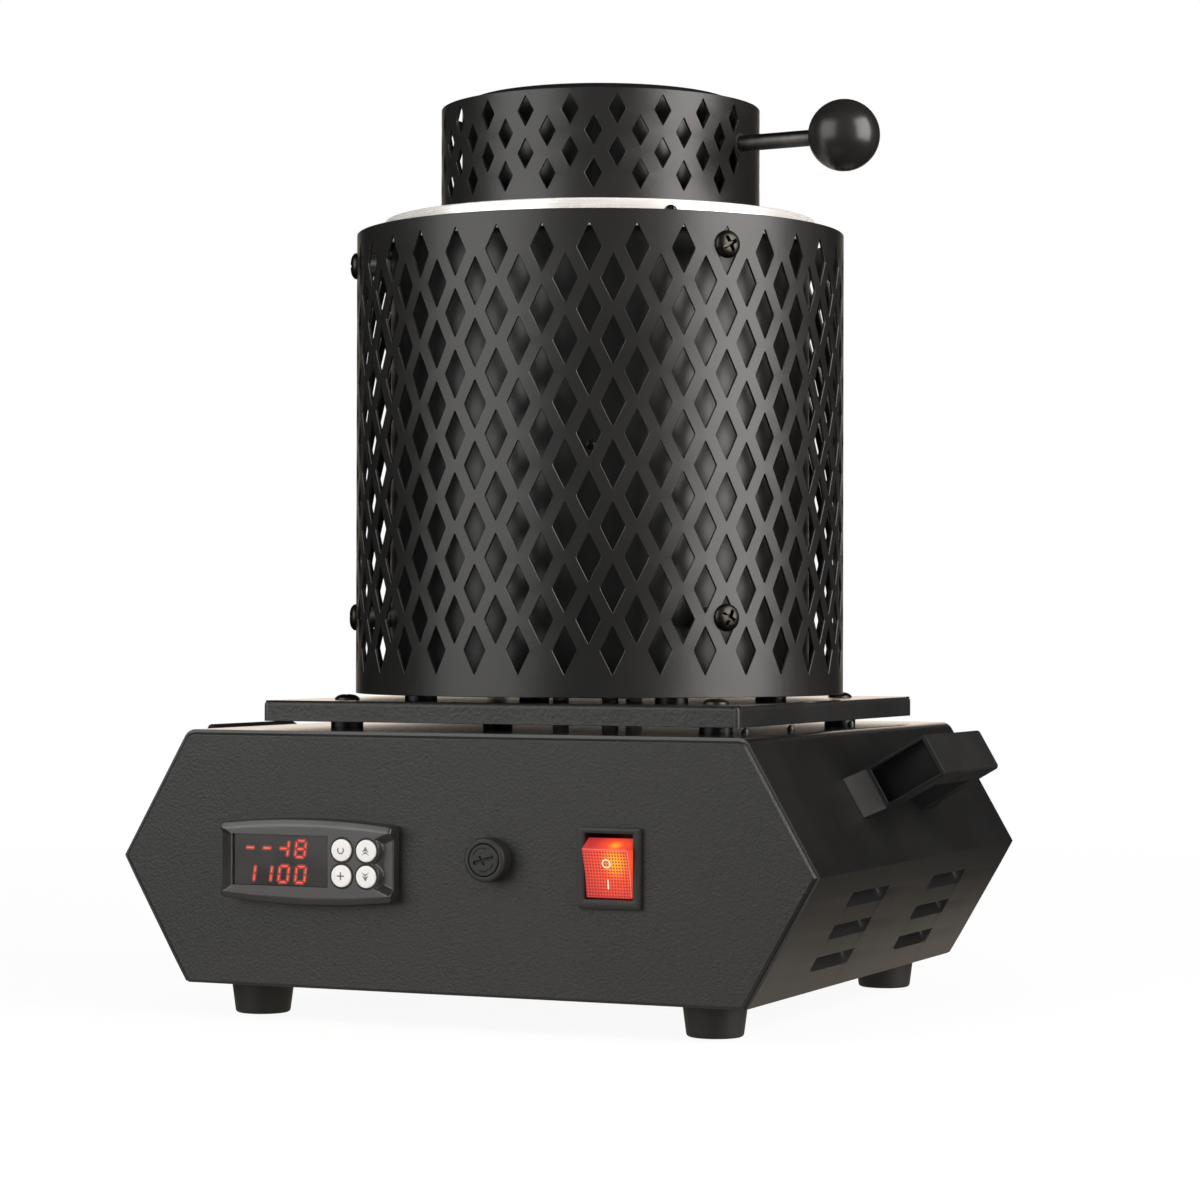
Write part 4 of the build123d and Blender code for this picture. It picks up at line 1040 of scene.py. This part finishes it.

# %% [markdown]
# ## Lit switch
# The rocker is red plastic over a lamp: one outline seen from its side, drawn across its
# width. The marks, and the painted highlights that glow along its edges, follow its hollow face.

# %% Rocker
SWITCH_X, SWITCH_Z, PIVOT_Y, TILT, FRAME_FLOOR = 65.8, 64.8, -121.5, math.radians(14), -16.0
frame_out = facing(SWITCH_X, PANEL_FRONT, SWITCH_Z)
outer, inner = loop_of(box_of(13.1, 15.5), 0.7), loop_of(box_of(10.0, 12.6, 0.7), 0.4)
stack = [(outer, 0.0), (outer, 1.55), (inset(outer, 0.12), 1.85), (inset(outer, 0.45), 2.0)]
stack += [(inset(inner, -0.3), 2.0), (inset(inner, -0.08), 1.9), (inner, 1.6), (inner, FRAME_FLOOR)]
switch = Piece().grid(stacked(frame_out, *stack), wrap=True)
switch.add(frame_out(*inner.T, FRAME_FLOOR), [list(range(len(inner)))])
switch.make("switch_frame", frame_black, "switch_housing")

up_face, off_face = (0, -math.sin(TILT), math.cos(TILT)), (0, -math.cos(TILT), -math.sin(TILT))
rocker = Place((SWITCH_X, PIVOT_Y, SWITCH_Z), up_face, off_face)
RIDGE, LEVER_HALF = (9.7, 7.5), 9.5
outline = [(-8, -4), (-11.2, 0), (-9.8, 7.3), (0, 6.6), RIDGE, (11.9, 0), (8, -4)]
outline = loop_of(outline, [0.3, 0.5, 0.5, 30, 0.4, 0.5, 0.3], 8)
hollow = outline[(outline[:, 1] > 6) & (outline[:, 0] > -0.5)]
lever_face = hollow[np.argsort(hollow[:, 0])].T
stack = [(0.45, -LEVER_HALF), (0.13, 0.13 - LEVER_HALF), (0, 0.45 - LEVER_HALF)]
stack += [(by, -height) for by, height in stack[::-1]]
Piece().solid(slab(rocker, outline, stack)).make("rocker_lever", rocker_lit, "switch_rocker")
ON, OFF = -4.4, 3.8  # middles of the marks, up the rocker's face
SUNK, PROUD = -0.1, 0.08


def skin(up):
    """Height of the rocker's hollow face above its pivot, at a distance up it."""
    return np.interp(abs(up), lever_face[0], lever_face[1])


face = Place((SWITCH_X, PIVOT_Y, SWITCH_Z), (1, 0, 0), up_face)
hoop = []
for radius, rise in ((1.9, SUNK), (1.85, PROUD), (1.35, PROUD), (1.3, SUNK)):
    aside, up = polar(radius, circle(32))
    hoop.append(face(aside, OFF + up, skin(OFF + up) + rise))
marks = Piece().grid(np.stack(hoop), wrap=True)
stroke = box_of(0.26, 1.8, ON)
marks.solid(np.stack([face(*stroke.T, skin(stroke[:, 1]) + rise) for rise in (SUNK, PROUD)]))
marks.make("rocker_marks", mark_pale, rides="switch_rocker")
# painted highlights: glowing strips for the bright line near the lever's right side, and for the one along its crest
up, line_x = np.linspace(-9, 9.2, 12), LEVER_HALF - 0.25
strip = [(line_x + 0.08, rise) for rise in up] + [(line_x - 0.08, rise) for rise in up[::-1]]
strip = np.array(strip)
edges = Piece().solid(np.stack([face(*strip.T, skin(strip[:, 1]) + rise) for rise in (SUNK, 0.03)]))
crest = np.array([(-0.36, -0.12), (-0.16, 0.0), (0.04, -0.32)]) + RIDGE
edges.solid(np.stack([face(side, *crest.T) for side in (0.45 - LEVER_HALF, LEVER_HALF - 0.45)]))
edges.make("rocker_edge_highlights", edge_highlight_glow, rides="switch_rocker")

# %% [markdown]
# ## Screws and bolts
# Every head is a low dome with a rounded edge, and most have a cross recess. On a polar
# grid, the dome is a height over the reach, less a depth along two crossed arms.

# %% Screw heads
ROUND_OFF = 0.55  # outer share of a head's radius over which it rounds down


def headed(place, radius, rise, arm=0.0, twist=0.0):
    """Grid of a screw head: dome height over reach, less a twisted cross recess of that arm."""
    turn, reach = circle(72), spread(0, (0.8, 19), (1, 7))[:, None]
    dome = rise * (1 - 0.30 * reach**2)
    edge = np.clip((reach - 1 + ROUND_OFF) / ROUND_OFF, 0, 1)
    dome = dome - 0.5 * rise * (1 - np.sqrt(1 - edge**2))
    x, y = polar(reach * radius, turn - twist)
    if arm:
        near, far = np.minimum(abs(x), abs(y)), np.maximum(abs(x), abs(y))
        width = 0.17 * arm + 0.25 * np.clip(arm * 0.45 - far, 0, None)
        fall = np.clip((arm - far) / (0.25 * arm), 0, 1)
        dome = dome - 0.62 * rise * np.clip((width - near) / 0.12 + 1, 0, 1) * fall
    return np.concatenate([place(*polar(reach * radius, turn), dome), place(*polar(radius, turn))[None]])


def radial(angle, reach, z):
    """Place that faces away from the furnace axis, with local y up."""
    turn = math.radians(angle)
    origin = (reach * math.sin(turn), AXIS_Y - reach * math.cos(turn), z)
    return Place(origin, (math.cos(turn), math.sin(turn), 0), (0, 0, 1))


def screwed(name, node, heads, sharp=40):
    """One piece of all the heads of a node, each from its place, radius, rise, arm and twist."""
    piece = Piece()
    for head in heads:
        piece.grid(headed(*head), wrap=True)
    piece.make(name, screw_black, node, sharp=sharp)


SCREW_COLUMNS, SCREW_ROWS = (5, 16, 28), (309.8, 160.5)
GUARD_SCREWS = [(column * 360 / GUARD_COLUMNS, z) for column in SCREW_COLUMNS for z in SCREW_ROWS]
places = [radial(angle, guard_radius - 0.2, z) for angle, z in GUARD_SCREWS]
heads = [(place, 5.6, 3.0, 3.4, 0.5 + 0.6 * index) for index, place in enumerate(places)]
screwed("guard_screw_heads", "guard_screws", heads)
BOLTS = [(x, AXIS_Y + y) for x in (-82.5, 82.5) for y in (-73.2, 73.2)]
screwed("plate_bolt_heads", "plate_bolts", [(upright(x, y, plate_top), 5.2, 2.6, 2.8, x) for x, y in BOLTS])
RING_SCREWS, SKIRT_REACH, SKIRT_MIDDLE = (41.5, 161.5, 281.5), 91.9, 323.3
places = [radial(angle, SKIRT_REACH, SKIRT_MIDDLE) for angle in RING_SCREWS]
screwed("ring_screw_heads", "ring_screws", [(place, 2.7, 2.0, 1.7) for place in places])
RIVET_ANGLE, RIVET_Z = 21.2, 229.5
screwed("casing_rivet_head", "casing_rivet", [(radial(RIVET_ANGLE, CASING_RADIUS - 0.1, RIVET_Z), 1.9, 1.0)], 32)

# %% [markdown]
# ## Feet, spacers and sleeves
# All the small turned pieces spin one line about each of the places where they stand.

# %% Turned pieces
feet = [upright(x, y) for x in (-98.8, 98.8) for y in (-100, 100)]
foot = [(0, 4), (3.6, 4), (3.6, 0), (11.0, 0), (12.5, 11.4), (12.7, 13.3), (0, 13.3)]
turned("tapered_feet", rubber_black, "rubber_feet", feet, foot, [0, 0.2, 0.5, 1.3, 0.6, 0.3, 0])
posts = [upright(x, y) for x, y in BOLTS]
SPACER_RADIUS, PLATE_SHEET = 6.75, 1.5
post = peg(SPACER_RADIUS, cover_high, plate_top - PLATE_SHEET)
turned("plate_spacer_posts", spacer_black, "plate_spacers", posts, post, 0.4)
corner = 80 / math.sqrt(2)
posts = [upright(x, AXIS_Y + y) for x in (-corner, corner) for y in (-corner, corner)]
post = peg(SPACER_RADIUS, plate_top, casing_low)
turned("body_spacer_posts", spacer_black, "body_spacers", posts, post, 0.3)
sleeves = [radial(angle, CASING_RADIUS, z) for angle, z in GUARD_SCREWS]
gap = guard_radius - GUARD_SHEET - CASING_RADIUS
turned("guard_sleeves", zinc, "guard_spacers", sleeves, peg(4.4, 0, gap), 0.3, 32)
tips = [upright(x, y, cover_high) for x, y in ((97, -64), (97.5, -14), (98, 58))]
thread = [(2.0, 0), (2.0, 0.5), (1.6, 0.8), (1.8, 1.2), (1.35, 1.6), (1.5, 2.0), (1.0, 2.4), (1.1, 2.7), (0, 3.2)]
turned("screw_tips", zinc, "bracket_screws", tips, thread, 0.05, 24)

# %% [markdown]
# ## Inside the furnace
# Under the lid is a graphite crucible in a ceramic muffle. The wire is cast in the muffle's
# wall, so only its turns show, as soft ridges in the bore.

# %% Muffle and crucible
MUFFLE_RADIUS, BORE_RADIUS, BORE_MOUTH, COIL_PITCH, COIL_RISE = 38.0, 32.5, 33.0, 8.4, 0.45
low, high = size_of("muffle")
rise = np.linspace(low[2] + 1, high[2] - 1, 300)
bore = BORE_RADIUS + COIL_RISE * np.cos((rise - rise[0]) * 2 * np.pi / COIL_PITCH) - COIL_RISE
line = [(BORE_MOUTH, low[2]), (MUFFLE_RADIUS - 0.4, low[2]), (MUFFLE_RADIUS, low[2] + 0.4)]
line += [(MUFFLE_RADIUS, high[2] - 0.5), (MUFFLE_RADIUS - 0.5, high[2]), (BORE_MOUTH, high[2])]
line = np.concatenate([line, np.stack([bore, rise], -1)[::-1]])
Piece().ring(spun(axis, line, 72)).make("muffle_tube", ceramic, "muffle")
CRUCIBLE_FLOOR = 8.0
low, high = size_of("crucible")
line = [(0, low[2]), (26.0, low[2]), (30.5, high[2]), (25.0, high[2])]
line += [(21.0, low[2] + CRUCIBLE_FLOOR), (0, low[2] + CRUCIBLE_FLOOR)]
turned("crucible_cup", graphite, "crucible", [axis], line, [0, 4, 1.4, 1.4, 8, 0], 96)
stand = peg(32.0, body_low, low[2])
turned("crucible_stand", ceramic, "crucible_seat", [axis], stand, 0.8, 72)
low, high = size_of("lid_refractory")
turned("lid_lining", fibre, "lid_refractory", [axis], peg(57.2, low[2], high[2]), [0, 2.2, 0.5, 0], 96)
softened("insulation", fibre, 0.8)
SLEEVE_RADIUS, LEADS_X, PROBE_X = 3.5, (5.0, 16.0), (-18.0,)
for name, node, places in (("lead_sleeves", "heater_leads", LEADS_X), ("probe_sleeve", "thermocouple", PROBE_X)):
    low, high = size_of(node)
    sleeves = [upright(x, AXIS_Y) for x in places]
    turned(name, ceramic, node, sleeves, peg(SLEEVE_RADIUS, low[2], high[2]), 0.4, 32)

# %% [markdown]
# ## Pivot of the lid
# Behind the body, a post carries the sleeve of the lid's strap. A nut holds the sleeve down.

# %% Pivot
PIVOT_REACH, PIVOT_RADIUS, PIVOT_HIGH, FLANGE_RADIUS, FLANGE_HIGH = 80.0, 4.0, 358.6, 8.0, 331.7
pivot = upright(0, AXIS_Y + PIVOT_REACH)
post = [(0, ring_top), (FLANGE_RADIUS, ring_top), (FLANGE_RADIUS, FLANGE_HIGH), (PIVOT_RADIUS, FLANGE_HIGH)]
post += [(PIVOT_RADIUS, PIVOT_HIGH), (0, PIVOT_HIGH)]
stem = Piece().grid(spun(pivot, rounded(post, [0, 0.3, 0.6, 0.3, 0.8, 0], 5), 56), wrap=True)
nut = np.stack(polar(7, circle(6)), -1)
stem.solid(slab(pivot, nut, [(0.5, 355.9), (0, 356.2), (0, 359.5), (0.6, 359.9)]))
stem.make("pivot_post_and_nut", zinc, "pivot_post")
softened("lid_hinge_arm", heat_black, 0.4)

# %% [markdown]
# ## Pieces that keep their solids
# What is left lies inside the box or at its back, and only gets a finish of its own.

# %% Finishes for the remaining nodes
KEPT = [
    (zinc, "controller_clip", "inlet_screws", "terminal_bracket"),
    (bezel_black, "fuse_nut", "solid_state_relay"),
    (brass, "switch_terminals", "inlet_pins"),
    (tinned, "glass_fuse"),
    (alloy, "heat_sink"),
    (button_white, "terminal_block"),
]
for material, *names in KEPT:
    for name in names:
        nodes[name].data.materials.clear()
        nodes[name].data.materials.append(material)

# %% [markdown]
# ## Studio
# A black object is drawn by what it mirrors. Two tall soft boxes stand left and right of
# the camera with a dark gap between them, and a third hangs in front, high up, where it
# fills the colours without a mirror image in any upright wall. A dark room that only
# mirrors see hangs round it all, so that coats stay black where no box faces them. The
# floor and the world are white to the camera, and the floor keeps a soft shadow.

# %% Lamps
def soft_box(name, turn, rise, reach, wide, tall, radiance, colour):
    """Area lamp at an angle from the front and a rise, at a distance, that faces the object."""
    lamp = bpy.data.lights.new(name, "AREA")
    lamp.shape, lamp.size, lamp.size_y, lamp.color = "RECTANGLE", wide, tall, colour
    lamp.energy = radiance * math.pi * wide * tall
    made = placed(name, lamp)
    turn, rise = math.radians(turn), math.radians(rise)
    back = Matrix.Rotation(turn, 4, "Z") @ Matrix.Rotation(math.pi / 2 - rise, 4, "X")
    made.matrix_world = Matrix.Translation((0, 0, 0.2)) @ back @ Matrix.Translation((0, 0, reach))
    return made


soft_box("left_box", -32, 16, 1.5, 1.4, 1.5, 3.0, (1.0, 0.99, 0.97))
soft_box("right_box", 87, 11, 1.5, 1.25, 1.95, 6.6, (1.0, 0.96, 0.93))
high_box = soft_box("high_box", 5, 58, 1.6, 1.2, 0.9, 2.6, (1.0, 0.98, 0.95))
high_box.visible_glossy = False


# %% Floor and dark room
def staged(name, points, faces, material):
    """Mesh that belongs to the studio and not to the object."""
    mesh = bpy.data.meshes.new(name)
    mesh.from_pydata(points, [], faces)
    mesh.materials.append(material)
    made = placed(name, mesh)
    return made


FLOOR, WHITE_SHARE = 30.0, 0.93
floor = Finish("studio_floor", base_color=(0.90, 0.89, 0.88, 1), roughness=0.9)
share = floor.from_axis()[0].clamp(0.3, 1.3) * (1 - WHITE_SHARE) + WHITE_SHARE
shaders = {0: floor.seen() * share, 1: Wire(floor, floor.shader.outputs[0]), 2: floor.glow((1, 1, 1, 1))}
floor.surface(floor.node("ShaderNodeMixShader", sockets=shaders))
corners = [(x * FLOOR, y * FLOOR, -0.0004) for x, y in ((-1, -1), (1, -1), (1, 1), (-1, 1))]
staged("studio_floor", corners, [(0, 1, 2, 3)], floor.material)

# the room: a tall drum with a table top under it that is tan near the object
room = Finish("studio_room")
reach, east, north = room.from_axis()
height = room.axes()[2]
beside = room.maths("ABSOLUTE", east).clamp(0.130, 0.172)
table = (1 - reach.clamp(0.25, 0.55)) * (1 - beside * 0.95) * (1 - height.clamp(0.0, 0.01))
front = (east * 0.35 - north * 0.94).clamp(0.6, 2.3)
behind = (north * 0.915 - east * 0.404).clamp(2.18, 2.3) * (1 - height.clamp(0.6, 0.95))
colour = room.blend(table, (0.02, 0.02, 0.02, 1), (0.42, 0.37, 0.31, 1))
colour = room.blend(front * (1 - table), colour, (0.17, 0.17, 0.17, 1))
room.surface(room.glow(room.blend(behind, colour, (1.25, 1.08, 0.92, 1))))
ROOM_REACH, ROOM_LOW, ROOM_HIGH = 2400, -0.2, 2600
drum = [(reach, ROOM_LOW) for reach in np.linspace(0, 2300, 40)]
drum += [(ROOM_REACH, ROOM_LOW), (ROOM_REACH, ROOM_HIGH), (0, ROOM_HIGH)]
drum = spun(upright(0, 0), drum, 48) * MM
quads = grid_quads(*drum.shape[:2], wrap=True).tolist()
drum = staged("studio_room", drum.reshape(-1, 3).tolist(), quads, room.material)
drum.visible_camera = drum.visible_diffuse = drum.visible_shadow = drum.visible_transmission = False

# %% World
WORLD_LIGHT = 0.35  # strength of the white world as a lamp; what sees it sees it full
world = bpy.data.worlds.new("studio")
bpy.context.scene.world = world
sky = Tree(world)
background = sky.nodes["Background"].inputs
background["Color"].default_value = (1, 1, 1, 1)
sky.plug(background["Strength"], sky.seen().clamp(0.0, 1.0) * (1 - WORLD_LIGHT) + WORLD_LIGHT)

bpy.context.scene.view_settings.view_transform = "Standard"
